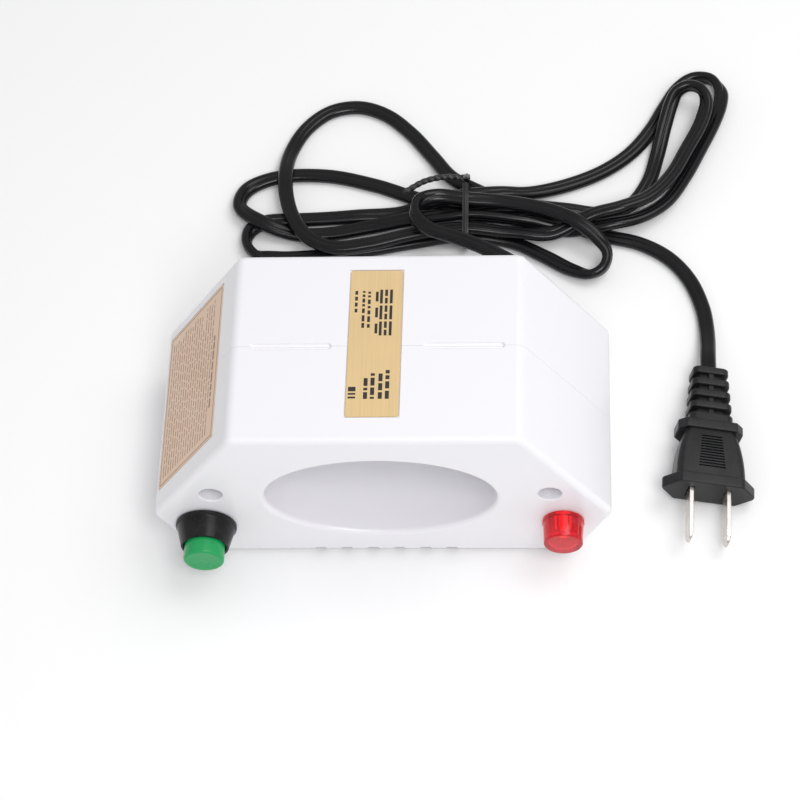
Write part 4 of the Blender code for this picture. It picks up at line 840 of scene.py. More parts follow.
NICKEL = Finish(
    "nickel plate", (0.66, 0.62, 0.59), 0.26, metallic=1.0, drift=0.25, marks=0.25, dust=0.12,
    depth=0.006 * MM, pattern=Pattern.BRUSHED_Y, slot="nickel_plate",
)  # fmt: skip
ZINC = Finish(
    "zinc plate", (0.58, 0.58, 0.6), 0.33, metallic=1.0, drift=0.2, marks=0.2, depth=0.006 * MM, dust=0.0,
    slot="zinc_plated_steel",
)  # fmt: skip
BRASS = Finish(
    "sheet brass", (0.72, 0.5, 0.2), 0.28, metallic=1.0, drift=0.25, marks=0.2, dust=0.0,
    depth=0.006 * MM, pattern=Pattern.BRUSHED_Y, slot="brass_sheet",
)  # fmt: skip
GOLD_FOIL = Finish(
    "gold foil", (0.88, 0.64, 0.33), 0.36, metallic=0.35, coat=0.2, drift=0.05, marks=0.1, dust=0.05,
    depth=0.006 * MM, pattern=Pattern.BRUSHED_Y, slot="gold_label",
)  # fmt: skip
PEACH_PAPER = Finish(
    "peach paper", (0.78, 0.53, 0.36), 0.33, coat=0.3, drift=0.03, grain=3000.0, depth=0.004 * MM,
    slot="peach_label",
)  # fmt: skip
INK = Finish(
    "printing ink", (0.03, 0.027, 0.025), 0.4, drift=0.3, depth=0.002 * MM, dust=0.02, slot="gold_label"
)
BROWN_INK = replace(INK, name="brown ink", colour=(0.33, 0.19, 0.12), slot="peach_label")
NYLON = Finish(
    "natural nylon", (0.8, 0.78, 0.7), 0.48, subsurface=0.2, drift=0.04, depth=0.015 * MM, dust=0.04,
    slot="nylon",
)  # fmt: skip
COPPER = Finish(
    "enamelled copper", (0.62, 0.2, 0.07), 0.24, metallic=0.85, coat=0.4, drift=0.15, depth=0.1 * MM,
    dust=0.0, pattern=Pattern.WOUND, slot="enamelled_copper",
)  # fmt: skip
TAPE = Finish(
    "polyester tape", (0.85, 0.6, 0.08), 0.22, coat=0.4, drift=0.08, grain=500.0, depth=0.03 * MM,
    dust=0.03, slot="insulating_tape",
)  # fmt: skip
INNER_BLACK = replace(BEZEL_BLACK, name="inner black", roughness=0.45, wear=0.0, dust=0.05)
RESISTOR = Finish(
    "resistor lacquer", (0.68, 0.54, 0.34), 0.35, coat=0.3, pattern=Pattern.BANDS, slot="resistor_body"
)
RED_WIRE = Finish(
    "red insulation", (0.5, 0.02, 0.02), 0.34, coat=0.1, drift=0.06, dust=0.04, slot="red_insulation"
)
BLUE_WIRE = replace(RED_WIRE, name="blue insulation", colour=(0.02, 0.06, 0.4), slot="blue_insulation")
FLOOR_PAPER = Finish(
    "floor paper", (0.965, 0.965, 0.97), 0.7, specular=0.2, drift=0.004, marks=0.03, dust=0.0
)

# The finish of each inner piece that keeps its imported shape
INNER_FINISHES: dict[str, Finish] = {
    "coil_bobbin": NYLON, "coil_winding": COPPER, "coil_tape": TAPE, "button_ring_nut": INNER_BLACK,
    "button_plunger": NYLON, "switch_housing": INNER_BLACK,
    "switch_contact_left": BRASS, "switch_contact_right": BRASS, "switch_bridge": BRASS,
    "lamp_bulb": BULB_NEON, "lamp_holder": INNER_BLACK, "lamp_clip": ZINC, "lamp_resistor": RESISTOR,
    "live_splice": NYLON, "neutral_splice": NYLON, "mains_live_lead": RED_WIRE, "switch_feed_lead": RED_WIRE,
    "coil_feed_lead": RED_WIRE, "lamp_live_lead": RED_WIRE, "mains_neutral_lead": BLUE_WIRE,
    "coil_return_lead": BLUE_WIRE, "lamp_neutral_lead": BLUE_WIRE,
}  # fmt: skip


@dataclass
class Bench:
    """Dresses finished pieces and hands them over to the frame."""

    nodes: dict[str, bpy.types.Object]
    mixed: dict[str, bpy.types.Material] = field(default_factory=dict)

    def paint(self, piece: bpy.types.Object, finish: Finish) -> None:
        """Give a piece its finish.

        Args:
            piece: The piece.
            finish: The finish; its material is made once.
        """
        if finish.name not in self.mixed:
            self.mixed[finish.name] = finish.build()
        piece.data.materials.clear()
        piece.data.materials.append(self.mixed[finish.name])

    def place(
        self, piece: bpy.types.Object, finish: Finish, instead: Sequence[str] = (), body: str = "case",
        angle: float = 32.0,
    ) -> bpy.types.Object:  # fmt: skip
        """Shade, paint and attach a piece.

        Args:
            piece: The finished mesh object.
            finish: Its finish.
            instead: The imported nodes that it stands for.
            body: The body that it moves with.
            angle: Edges sharper than this, in degrees, stay sharp.

        Returns:
            The piece.
        """
        Maker.smooth(piece, angle)
        self.paint(piece, finish)
        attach(piece, body)
        if instead:
            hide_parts(*instead)
        LOG.info("%s: %d faces", piece.name, len(piece.data.polygons))
        return piece

    def dress_inner_pieces(self) -> None:
        """Give every inner node its finish."""
        for name, finish in INNER_FINISHES.items():
            self.paint(self.nodes[name], finish)
            LOG.info("%s: %s", name, finish.name)


# ---------------------------------------------------------------- case


@dataclass
class CasePlan:
    """The case's main planes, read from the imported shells."""

    front: float
    back: float
    base: float
    top: float
    half: float
    seam: float

    @classmethod
    def from_frame(cls) -> "CasePlan":
        """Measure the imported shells.

        Returns:
            The planes.
        """
        low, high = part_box("front_shell")
        _, rear_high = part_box("rear_shell")
        return cls(low.y, rear_high.y, low.z, high.z, high.x, (low.y + rear_high.y) / 2)


@dataclass
class Case:
    """Two moulded half shells with their screws and feet."""

    bench: Bench
    plan: CasePlan
    top_width: float = 93.0 * MM
    base_width: float = 127.0 * MM
    band_low: float = 22.5 * MM  # above the underside
    band_high: float = 25.5 * MM
    corner: float = 4.0 * MM
    fillet: float = 2.2 * MM
    wall: float = 2.4 * MM
    seam_gap: float = 0.06 * MM
    seam_edge: float = 0.05 * MM
    tunnel_width: float = 75.4 * MM
    tunnel_height: float = 45.4 * MM
    tunnel_centre: float = 34.9 * MM
    tunnel_lip: float = 1.7 * MM
    tunnel_wall: float = 2.0 * MM
    screw_radius: float = 3.8 * MM
    screw_depth: float = 22.0 * MM
    screw_mouth: float = 0.5 * MM  # rounding of the hole's edge
    screw_way: float = 1.8 * MM
    screw_reach: float = 34.0 * MM  # of the way in the rear half, beyond the seat
    boss: float = 5.6 * MM
    button_hole: float = 8.2 * MM
    lamp_hole: float = 6.1 * MM
    outlet_hole: tuple[float, float, float] = (4.9 * MM, 3.7 * MM, 1.8 * MM)  # half sizes and corner
    groove: tuple[float, float, float] = (26.0 * MM, 2.3 * MM, 0.8 * MM)
    groove_offset: float = 27.8 * MM
    vent: tuple[float, float, float] = (3.5 * MM, 24.0 * MM, 2.6 * MM)
    vent_count: int = 6
    vent_pitch: float = 8.8 * MM
    relief_length: float = 69.0 * MM
    relief_depth: float = 0.5 * MM
    foot_recess: float = 1.2 * MM

    def outline(self, inset: float) -> Outline:
        """The rounded eight-sided outline, moved inwards.

        Args:
            inset: How far every side moves.

        Returns:
            The outline.
        """
        plan, base, top = self.plan, self.base_width / 2, self.top_width / 2
        low, high = plan.base + self.band_low, plan.base + self.band_high
        right = [(base, plan.base), (plan.half, low), (plan.half, high), (top, plan.top)]
        corners = [(-base, plan.base), *right, *[(-x, z) for x, z in right[:0:-1]]]
        return rounded_polygon(inset_polygon(corners, inset), max(self.corner - inset, self.corner / 4))

    def tunnel(self, growth: float) -> Outline:
        """The tunnel's ellipse, grown all round."""
        middle = self.plan.base + self.tunnel_centre
        return ellipse(self.tunnel_width / 2 + growth, self.tunnel_height / 2 + growth, 112, 0.0, middle)

    def half_shell(self, side: str) -> bpy.types.Object:
        """Mould one half of the case.

        Args:
            side: "front" or "rear".

        Returns:
            The shell.
        """
        plan = self.plan
        inward = 1.0 if side == "front" else -1.0
        face = plan.front if side == "front" else plan.back
        seam = plan.seam - inward * self.seam_gap / 2
        edge = quarter_round(self.fillet)
        rings = [at_y(self.outline(inset), face + inward * depth) for inset, depth in edge]
        rings.append(at_y(self.outline(0.0), seam - inward * self.seam_edge))
        rings.append(at_y(self.outline(self.seam_edge), seam))
        shell = Maker.loft(f"{side}_case", rings)
        floor, mouth = face + inward * self.wall, seam + inward * OVERSHOOT
        Maker.combine(shell, [Maker.prism("cavity", self.outline(self.wall), floor, mouth)], "DIFFERENCE")
        root = face + inward * self.wall / 2
        added = [Maker.prism("sleeve", self.tunnel(self.tunnel_wall), root, seam)]
        for x, z in self.screw_axes():
            added.append(Maker.prism("boss", circle(self.boss, 40, x, z), root, seam))
        Maker.combine(shell, added, "UNION")
        Maker.combine(shell, self.shared_cuts(face, inward) + self.own_cuts(side), "DIFFERENCE")
        if side == "rear":
            Maker.combine(shell, [self.seam_lip()], "UNION")
        return shell

    def screw_axes(self) -> list[tuple[float, float]]:
        """X and Z of the two case screws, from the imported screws.

        Returns:
            The left and the right axis.
        """
        places = []
        for side in ("left", "right"):
            low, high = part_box(f"case_screw_{side}")
            places.append(((low.x + high.x) / 2, (low.z + high.z) / 2))
        return places

    def shared_cuts(self, face: float, inward: float) -> list[bpy.types.Object]:
        """Cutters that both halves have alike.

        Args:
            face: Y of the half's outer face.
            inward: 1 where the half reaches towards +Y, else -1.

        Returns:
            The cutters.
        """
        plan = self.plan
        flare = [(self.tunnel_lip, face - inward * OVERSHOOT)]
        flare += [(inset, face + inward * depth) for inset, depth in quarter_round(self.tunnel_lip, 8)]
        flare.append((0.0, plan.seam + inward * OVERSHOOT))
        cuts = [Maker.loft("tunnel_cut", [at_y(self.tunnel(growth), y) for growth, y in flare])]
        outside = face - inward * OVERSHOOT
        low_y, high_y = sorted((outside, face + inward * self.relief_depth))
        width, length, height = self.vent
        relief = (-self.relief_length / 2, low_y, plan.base - OVERSHOOT)
        relief_top = (self.relief_length / 2, high_y, plan.base + height / 2 + self.fillet / 2)
        cuts.append(Maker.block("relief_cut", relief, relief_top))
        low_y, high_y = sorted((outside, face + inward * length))
        for i in range(self.vent_count):
            x = (i - (self.vent_count - 1) / 2) * self.vent_pitch
            low = (x - width / 2, low_y, plan.base - OVERSHOOT)
            cuts.append(Maker.block("vent_cut", low, (x + width / 2, high_y, plan.base + height)))
        length, width, depth = self.groove
        steps = [(0.35 * MM, -depth), (0.1 * MM, 0.2 * MM - depth), (0.0, -0.25 * MM), (-0.25 * MM, 0.0)]
        steps.append((-0.3 * MM, OVERSHOOT))
        for x in (-self.groove_offset, self.groove_offset):
            rings = []
            for inset, z in steps:
                long, wide = length / 2 - inset, width / 2 - inset
                slack = 0.05 * MM if z > 0 else 0.01 * MM
                outline = rounded_rectangle(long, wide, wide - slack, x, plan.seam)
                rings.append([(px, py, plan.top + z) for px, py in outline])
            cuts.append(Maker.loft("groove_cut", rings))
        for name in ("foot_front_left", "foot_front_right", "foot_rear_left", "foot_rear_right"):
            low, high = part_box(name)
            middle = (low + high) / 2
            radius = (high.x - low.x) / 2 + self.seam_gap
            heights = (-OVERSHOOT, plan.base + self.foot_recess)
            outline = circle(radius, 32, middle.x, middle.y)
            if (middle.y < plan.seam) == (inward > 0):
                cuts.append(Maker.loft("foot_cut", [[(x, y, z) for x, y in outline] for z in heights]))
        return cuts + Labels.recess_cuts(plan, self)

    def own_cuts(self, side: str) -> list[bpy.types.Object]:
        """Cutters that only one half has.

        Args:
            side: "front" or "rear".

        Returns:
            The cutters.
        """
        plan = self.plan
        cuts = []
        bottom = plan.front + self.screw_depth
        for x, z in self.screw_axes():
            if side == "front":
                mouth = [(self.screw_radius + self.screw_mouth, plan.front - OVERSHOOT)]
                edge = quarter_round(self.screw_mouth, 4)
                mouth += [(self.screw_radius + inset, plan.front + depth) for inset, depth in edge]
                mouth.append((self.screw_radius, bottom))
                cuts.append(Maker.turned("screw_cut", mouth, x, z, 40))
            start = bottom - OVERSHOOT if side == "front" else plan.seam - OVERSHOOT
            end = plan.seam + OVERSHOOT if side == "front" else bottom + self.screw_reach
            cuts.append(Maker.prism("screw_way_cut", circle(self.screw_way, 24, x, z), start, end))
        if side == "front":
            start, end = plan.front - OVERSHOOT, plan.front + 4 * self.wall
            for name, radius in (("button_bezel", self.button_hole), ("lamp_lens", self.lamp_hole)):
                low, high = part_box(name)
                outline = circle(radius, 48, (low.x + high.x) / 2, (low.z + high.z) / 2)
                cuts.append(Maker.prism("face_hole_cut", outline, start, end))
        else:
            low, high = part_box("cord_outlet")
            outline = rounded_rectangle(*self.outlet_hole, (low.x + high.x) / 2, (low.z + high.z) / 2)
            cuts.append(Maker.prism("outlet_cut", outline, plan.back - 2 * self.wall, plan.back + OVERSHOOT))
        return cuts

    def seam_lip(self) -> bpy.types.Object:
        """The thin ring of the rear half that reaches inside the front half.

        Returns:
            The ring.
        """
        gap, reach, lip = self.seam_gap, 2.5 * MM, 1.2 * MM
        outer, inner = self.wall + gap, self.wall + gap + lip
        buried = self.wall - lip / 2
        seam = self.plan.seam
        sections = ((outer, seam - reach), (outer, seam + gap), (buried, seam + gap))
        sections += ((buried, seam + gap + reach), (inner, seam + gap + reach), (inner, seam - reach))
        return Maker.loft("seam_lip", [at_y(self.outline(inset), y) for inset, y in sections], closed=True)

    def screws(self) -> None:
        """Two pan-head screws with cross slots."""
        for side in ("left", "right"):
            low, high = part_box(f"case_screw_{side}")
            x, z, head = (low.x + high.x) / 2, (low.z + high.z) / 2, (high.x - low.x) / 2
            profile = [(0.02 * MM, low.y), (head * 0.45, low.y + 0.05 * MM), (head * 0.75, low.y + 0.25 * MM)]
            profile += [(head * 0.93, low.y + 0.6 * MM), (head, low.y + 1.1 * MM), (head, low.y + 2.0 * MM)]
            crest, root, turns, pitch = 1.5 * MM, 1.15 * MM, 26, 1.1 * MM
            profile += [(head * 0.97, low.y + 2.2 * MM), (crest, low.y + 2.2 * MM)]
            for turn in range(turns):
                start = low.y + 3.4 * MM + turn * pitch
                profile += [(root, start), (crest, start + pitch * 0.45), (crest, start + pitch * 0.6)]
            profile += [(1.1 * MM, high.y - 1.6 * MM), (0.02 * MM, high.y)]
            screw = Maker.turned(f"screw_{side}", profile, x, z, 40)
            long, narrow, deep = 1.8 * MM, 0.42 * MM, low.y + 1.2 * MM
            cross = []
            for a, b in ((long, narrow), (narrow, long)):
                corner = (x - a, low.y - OVERSHOOT, z - b)
                cross.append(Maker.block("cross_cut", corner, (x + a, deep, z + b)))
            Maker.combine(screw, cross, "DIFFERENCE")
            self.bench.place(screw, ZINC, [f"case_screw_{side}"])

    def feet(self) -> None:
        """Four rubber feet with a rounded tread and a shallow dimple."""
        for name in ("front_left", "front_right", "rear_left", "rear_right"):
            low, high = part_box(f"foot_{name}")
            middle, radius = (low + high) / 2, (high.x - low.x) / 2
            profile = [(radius * 0.3, 0.35 * MM), (radius * 0.45, 0.02 * MM), (radius - 0.6 * MM, 0.0)]
            profile += [(radius - 0.2 * MM, 0.15 * MM), (radius, 0.6 * MM), (radius, high.z)]
            rings = [[(x, y, z) for x, y in circle(r, 40, middle.x, middle.y)] for r, z in profile]
            self.bench.place(Maker.loft(f"rubber_foot_{name}", rings), FOOT_RUBBER, [f"foot_{name}"])

    def build(self) -> None:
        """Make both shells, the screws and the feet."""
        for side in ("front", "rear"):
            self.bench.place(self.half_shell(side), CASE_WHITE, [f"{side}_shell"], angle=28.0)
        self.screws()
        self.feet()


# ---------------------------------------------------------------- labels

# Strokes of one block of the plate's heading: X, first Y and last Y, in millimetres
HEADING_STROKES = ((4.9, 0.0, 5.4), (3.3, 0.0, 2.2), (3.3, 2.9, 5.4), (1.7, 0.0, 5.4), (0.3, 0.8, 4.6))
# The plate's other lines: X, height, first Y, last Y and longest bar, in millimetres
PLATE_LINES = (
    (-2.2, 0.9, 5.6, 21.0, 2.4), (-4.0, 0.9, 5.6, 21.0, 2.4), (-6.4, 0.9, 11.6, 21.0, 2.4),
    (4.6, 1.3, -21.4, -10.6, 3.0), (2.4, 1.3, -21.4, -10.6, 3.0), (-0.1, 1.3, -21.4, -10.6, 3.0),
    (-2.3, 1.3, -21.4, -12.6, 3.0), (-6.6, 2.4, -21.2, -15.8, 2.0),
)  # fmt: skip


@dataclass
class Labels:
    """The foil plate across the seam and the printed label on the left slope, with plain bars for print."""

    bench: Bench
    plan: CasePlan
    case: Case
    lift: float = 0.03 * MM  # of the print above its label
    heading_blocks: int = 3
    heading_start: float = 2.6  # millimetres from the plate's middle
    heading_pitch: float = 6.2  # millimetres
    stroke: float = 0.45 * MM  # half a stroke's width
    border: float = 0.8 * MM
    frame_line: float = 0.32 * MM
    rows: int = 19
    seed: int = 11

    @staticmethod
    def slope(plan: CasePlan, case: Case) -> tuple[Matrix, float, float]:
        """The plane of the left slope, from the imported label.

        Args:
            plan: The case's planes.
            case: The case.

        Returns:
            A matrix whose X runs up the slope, Y along the case and Z outwards, and the label's half sizes.
        """
        low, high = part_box("instruction_label")
        foot = Vector((-plan.half, 0.0, plan.base + case.band_high))
        head = Vector((-case.top_width / 2, 0.0, plan.top))
        along = (head - foot).normalized()
        outward = Vector((-along.z, 0.0, along.x))
        start = (low.z - foot.z) / along.z
        end = (high.z - foot.z) / along.z
        middle = foot + along * (start + end) / 2 + Vector((0.0, (low.y + high.y) / 2, 0.0))
        rows = [[along.x, 0.0, outward.x], [0.0, 1.0, 0.0], [along.z, 0.0, outward.z]]
        turn = Matrix(rows).to_4x4()
        return Matrix.Translation(middle) @ turn, (end - start) / 2, (high.y - low.y) / 2

    @staticmethod
    def recess_cuts(plan: CasePlan, case: Case) -> list[bpy.types.Object]:
        """Cutters of the two shallow label recesses.

        Args:
            plan: The case's planes.
            case: The case.

        Returns:
            The cutters.
        """
        low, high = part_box("rating_label")
        margin = 0.3 * MM
        plate = Maker.block(
            "plate_recess_cut",
            (low.x - margin, low.y - margin, low.z - margin),
            (high.x + margin, high.y + margin, high.z + OVERSHOOT),
        )
        place, half_up, half_long = Labels.slope(plan, case)
        corner = (half_up + margin, half_long + margin)
        side = Maker.block("side_recess_cut", (-corner[0], -corner[1], -0.6 * MM), (*corner, OVERSHOOT))
        side.data.transform(place)
        return [plate, side]

    def print_bars(
        self, name: str, bars: Sequence[tuple[float, float, float, float]], height: float
    ) -> bpy.types.Object:
        """Flat printed bars in one piece.

        Args:
            name: The object's name.
            bars: Lowest and highest X and Y of each bar.
            height: Z of the label's face.

        Returns:
            The bars.
        """
        points, faces = [], []
        for low_x, high_x, low_y, high_y in bars:
            first = len(points)
            for z in (height - self.lift, height + self.lift):
                points += [(low_x, low_y, z), (high_x, low_y, z), (high_x, high_y, z), (low_x, high_y, z)]
            quads = [(3, 2, 1, 0), (4, 5, 6, 7), (0, 1, 5, 4), (1, 2, 6, 5), (2, 3, 7, 6), (3, 0, 4, 7)]
            faces += [tuple(first + i for i in quad) for quad in quads]
        return Maker.mesh(name, points, faces)

    def line_of_bars(
        self, chance: random.Random, start: float, end: float, at: float, tall: float, longest: float = 4.6
    ) -> list[tuple[float, float, float, float]]:
        """Lay out a line of short bars of uneven length along Y.

        Args:
            chance: Where the lengths come from.
            start: Lowest Y.
            end: Highest Y.
            at: X of the line's middle.
            tall: Height of the line.
            longest: Longest bar, in millimetres.

        Returns:
            The bars as (low X, high X, low Y, high Y).
        """
        bars = []
        y = start
        while y < end - 1.0 * MM:
            length = min(chance.uniform(longest * 0.26, longest) * MM, end - y)
            bars.append((at - tall / 2, at + tall / 2, y, y + length))
            y += length + chance.uniform(0.6, 0.9) * MM
        return bars

    def rating_plate(self) -> None:
        """The foil plate with a large heading and short lines of bars along Y."""
        low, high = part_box("rating_label")
        plate = Maker.plate("foil_plate", low, high, 0.8 * MM, 0.08 * MM)
        self.bench.place(plate, GOLD_FOIL, ["rating_label"])
        chance = random.Random(self.seed)
        middle = (low + high) / 2
        bars = []
        for block in range(self.heading_blocks):
            y = middle.y + (self.heading_start + self.heading_pitch * block) * MM
            for x, start, end in HEADING_STROKES:
                side = middle.x + x * MM
                bars.append((side - self.stroke, side + self.stroke, y + start * MM, y + end * MM))
        for x, tall, start, end, longest in PLATE_LINES:
            first, last = middle.y + start * MM, middle.y + end * MM
            bars += self.line_of_bars(chance, first, last, middle.x + x * MM, tall * MM, longest)
        printed = self.print_bars("foil_plate_bars", bars, high.z)
        self.bench.place(printed, INK)

    def side_label(self) -> None:
        """The printed label with a thin frame and lines of bars."""
        place, half_up, half_long = self.slope(self.plan, self.case)
        thick = 0.3 * MM
        corner, chamfer = 1.0 * MM, 0.05 * MM
        low, high = (-half_up, -half_long, -thick), (half_up, half_long, 0.0)
        label = Maker.plate("printed_label", low, high, corner, chamfer)
        label.data.transform(place)
        self.bench.place(label, PEACH_PAPER, ["instruction_label"])
        chance = random.Random(self.seed + 1)
        frame_up, frame_long, line = half_up - self.border, half_long - self.border, self.frame_line
        bars = [
            (-frame_up, frame_up, -frame_long, line - frame_long),
            (-frame_up, frame_up, frame_long - line, frame_long),
            (-frame_up, line - frame_up, -frame_long, frame_long),
            (frame_up - line, frame_up, -frame_long, frame_long),
        ]
        for row in range(self.rows):
            at = frame_up - 3.2 * MM - row * (2 * frame_up - 5.4 * MM) / (self.rows - 1)
            tall = 1.1 * MM if row == 0 else 0.42 * MM
            inset = 12.0 * MM if row == 0 else 2.4 * MM
            reach = frame_long - inset - (0.0 if row % 5 else chance.uniform(0.0, 12.0) * MM)
            bars += self.line_of_bars(chance, inset - frame_long, reach, at, tall)
        printed = self.print_bars("printed_label_bars", bars, 0.0)
        printed.data.transform(place)
        self.bench.place(printed, BROWN_INK)

    def build(self) -> None:
        """Make both labels."""
        self.rating_plate()
        self.side_label()


# ---------------------------------------------------------------- push button and lamp


@dataclass
class PushButton:
    """The black cone with the green cap in it and its return spring."""

    bench: Bench
    count: int = 80
    nose_radius: float = 7.95 * MM
    flange_back: float = 8.5 * MM  # from the nose to the rim's back, a hair off the case's face
    thread: float = 7.9 * MM
    thread_root: float = 7.55 * MM
    thread_turns: int = 10
    thread_pitch: float = 1.0 * MM
    floor_hole: float = 2.5 * MM
    floor_thickness: float = 2.0 * MM
    cap_edge: float = 0.95 * MM
    wire: float = 0.35 * MM
    spring_turns: int = 4
    travel: float = 2.5 * MM

    def build(self) -> None:
        """Make the bezel and the cap."""
        low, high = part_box("button_bezel")
        x, z, rim, nose = (low.x + high.x) / 2, (low.z + high.z) / 2, (high.x - low.x) / 2, low.y
        cap_low, cap_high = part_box("button_cap")
        cap = (cap_high.x - cap_low.x) / 2
        flange, thread = nose + self.flange_back, self.thread
        bore, top, mouth = cap + 0.3 * MM, nose + 0.02 * MM, self.nose_radius
        profile = [(bore + 0.25 * MM, top), (mouth - 0.35 * MM, top), (mouth - 0.08 * MM, nose + 0.12 * MM)]
        profile += [(mouth + 0.02 * MM, nose + 0.4 * MM), (rim - 0.55 * MM, flange - 1.7 * MM)]
        profile += [(rim - 0.4 * MM, flange - 1.45 * MM), (rim - 0.05 * MM, flange - 1.2 * MM)]
        profile += [(rim, flange - 0.9 * MM), (rim, flange - 0.15 * MM), (rim - 0.15 * MM, flange)]
        profile += [(thread, flange)]
        for turn in range(self.thread_turns):
            start = flange + 1.0 * MM + turn * self.thread_pitch
            profile += [(self.thread_root, start), (thread, start + 0.4 * MM), (thread, start + 0.6 * MM)]
        floor, inside = high.y, high.y - self.floor_thickness
        profile += [(7.6 * MM, floor), (self.floor_hole, floor), (self.floor_hole, inside), (bore, inside)]
        profile += [(bore, nose + 0.3 * MM)]
        bezel = Maker.turned("cone_bezel", profile, x, z, self.count, hollow=True)
        self.bench.place(bezel, BEZEL_BLACK, ["button_bezel"], angle=26.0)
        face, edge = cap_low.y, self.cap_edge
        profile = [(0.01 * MM, face + 0.22 * MM), (cap * 0.35, face + 0.2 * MM)]
        profile += [(cap * 0.65, face + 0.12 * MM), (cap * 0.8, face + 0.03 * MM), (cap - edge, face)]
        for a in (radians(degrees) for degrees in range(15, 91, 15)):
            profile.append((cap - edge + edge * sin(a), face + edge * (1 - cos(a))))
        profile += [(cap, cap_high.y - 0.3 * MM), (cap - 0.3 * MM, cap_high.y), (0.01 * MM, cap_high.y)]
        button = Maker.turned("push_cap", profile, x, z, self.count)
        self.bench.place(button, CAP_GREEN, ["button_cap"], body="button")
        self.spring()

    def spring(self) -> None:
        """Make the return spring, which moves with the button."""
        low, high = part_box("button_spring")
        wire = self.wire
        radius = (high.x - low.x) / 2 - wire
        x, z = (low.x + high.x) / 2, (low.z + high.z) / 2
        turn = np.linspace(0.0, 2 * pi * self.spring_turns, 24 * self.spring_turns + 1)
        along = np.linspace(low.y + wire, high.y - wire, len(turn))
        outward = np.stack([np.cos(turn), np.zeros_like(turn), np.sin(turn)], axis=1)
        line = outward * radius + np.stack([np.full_like(turn, x), along, np.full_like(turn, z)], axis=1)
        coil = Maker.sweep("return_spring", line, outward, circle(wire, 10))
        self.bench.place(coil, ZINC, ["button_spring"], body="button", angle=60.0)
        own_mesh(coil)


@dataclass
class Lamp:
    """The red lens, faceted inside, over its bulb."""

    bench: Bench
    count: int = 96
    facets: int = 16
    facet_depth: float = 0.22 * MM
    rim_back: float = 8.9 * MM  # from the lens's face
    edge: float = 0.6 * MM
    skirt: float = 5.8 * MM
    bore: float = 4.6 * MM

    def build(self) -> None:
        """Make the lens."""
        low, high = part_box("lamp_lens")
        x, z, base = (low.x + high.x) / 2, (low.z + high.z) / 2, (high.x - low.x) / 2
        nose = base - 0.5 * MM
        face, back = low.y, high.y
        rim, edge = face + self.rim_back, self.edge
        outer = [(0.3 * MM, face), (nose * 0.6, face + 0.02 * MM), (nose - edge, face + 0.08 * MM)]
        for a in (radians(degrees) for degrees in range(15, 91, 15)):
            outer.append((nose - edge + edge * sin(a), face + 0.08 * MM + edge * (1 - cos(a))))
        outer += [(base - 0.25 * MM, rim - 1.4 * MM), (base, rim - 1.1 * MM), (base, rim), (self.skirt, rim)]
        outer += [(self.skirt, back - 0.2 * MM), (5.6 * MM, back)]
        inner = [(self.bore, back), (self.bore, rim), (4.9 * MM, rim - 1.0 * MM), (4.7 * MM, face + 2.2 * MM)]
        inner += [(3.2 * MM, face + 1.5 * MM), (1.6 * MM, face + 1.7 * MM), (0.3 * MM, face + 1.4 * MM)]
        rings = [at_y(circle(r, self.count, x, z), y) for r, y in outer]
        for r, y in inner:
            swing = self.facet_depth if r > 2.0 * MM and y < rim else 0.0
            angles = [2 * pi * i / self.count for i in range(self.count)]
            radii = [r + swing * abs(sin(self.facets / 2 * a)) for a in angles]
            rings.append([(x + q * cos(a), y, z + q * sin(a)) for q, a in zip(radii, angles)])
        self.bench.place(Maker.loft("lamp_cover", rings), LENS_RED, ["lamp_lens"], angle=26.0)


# ---------------------------------------------------------------- mains cord


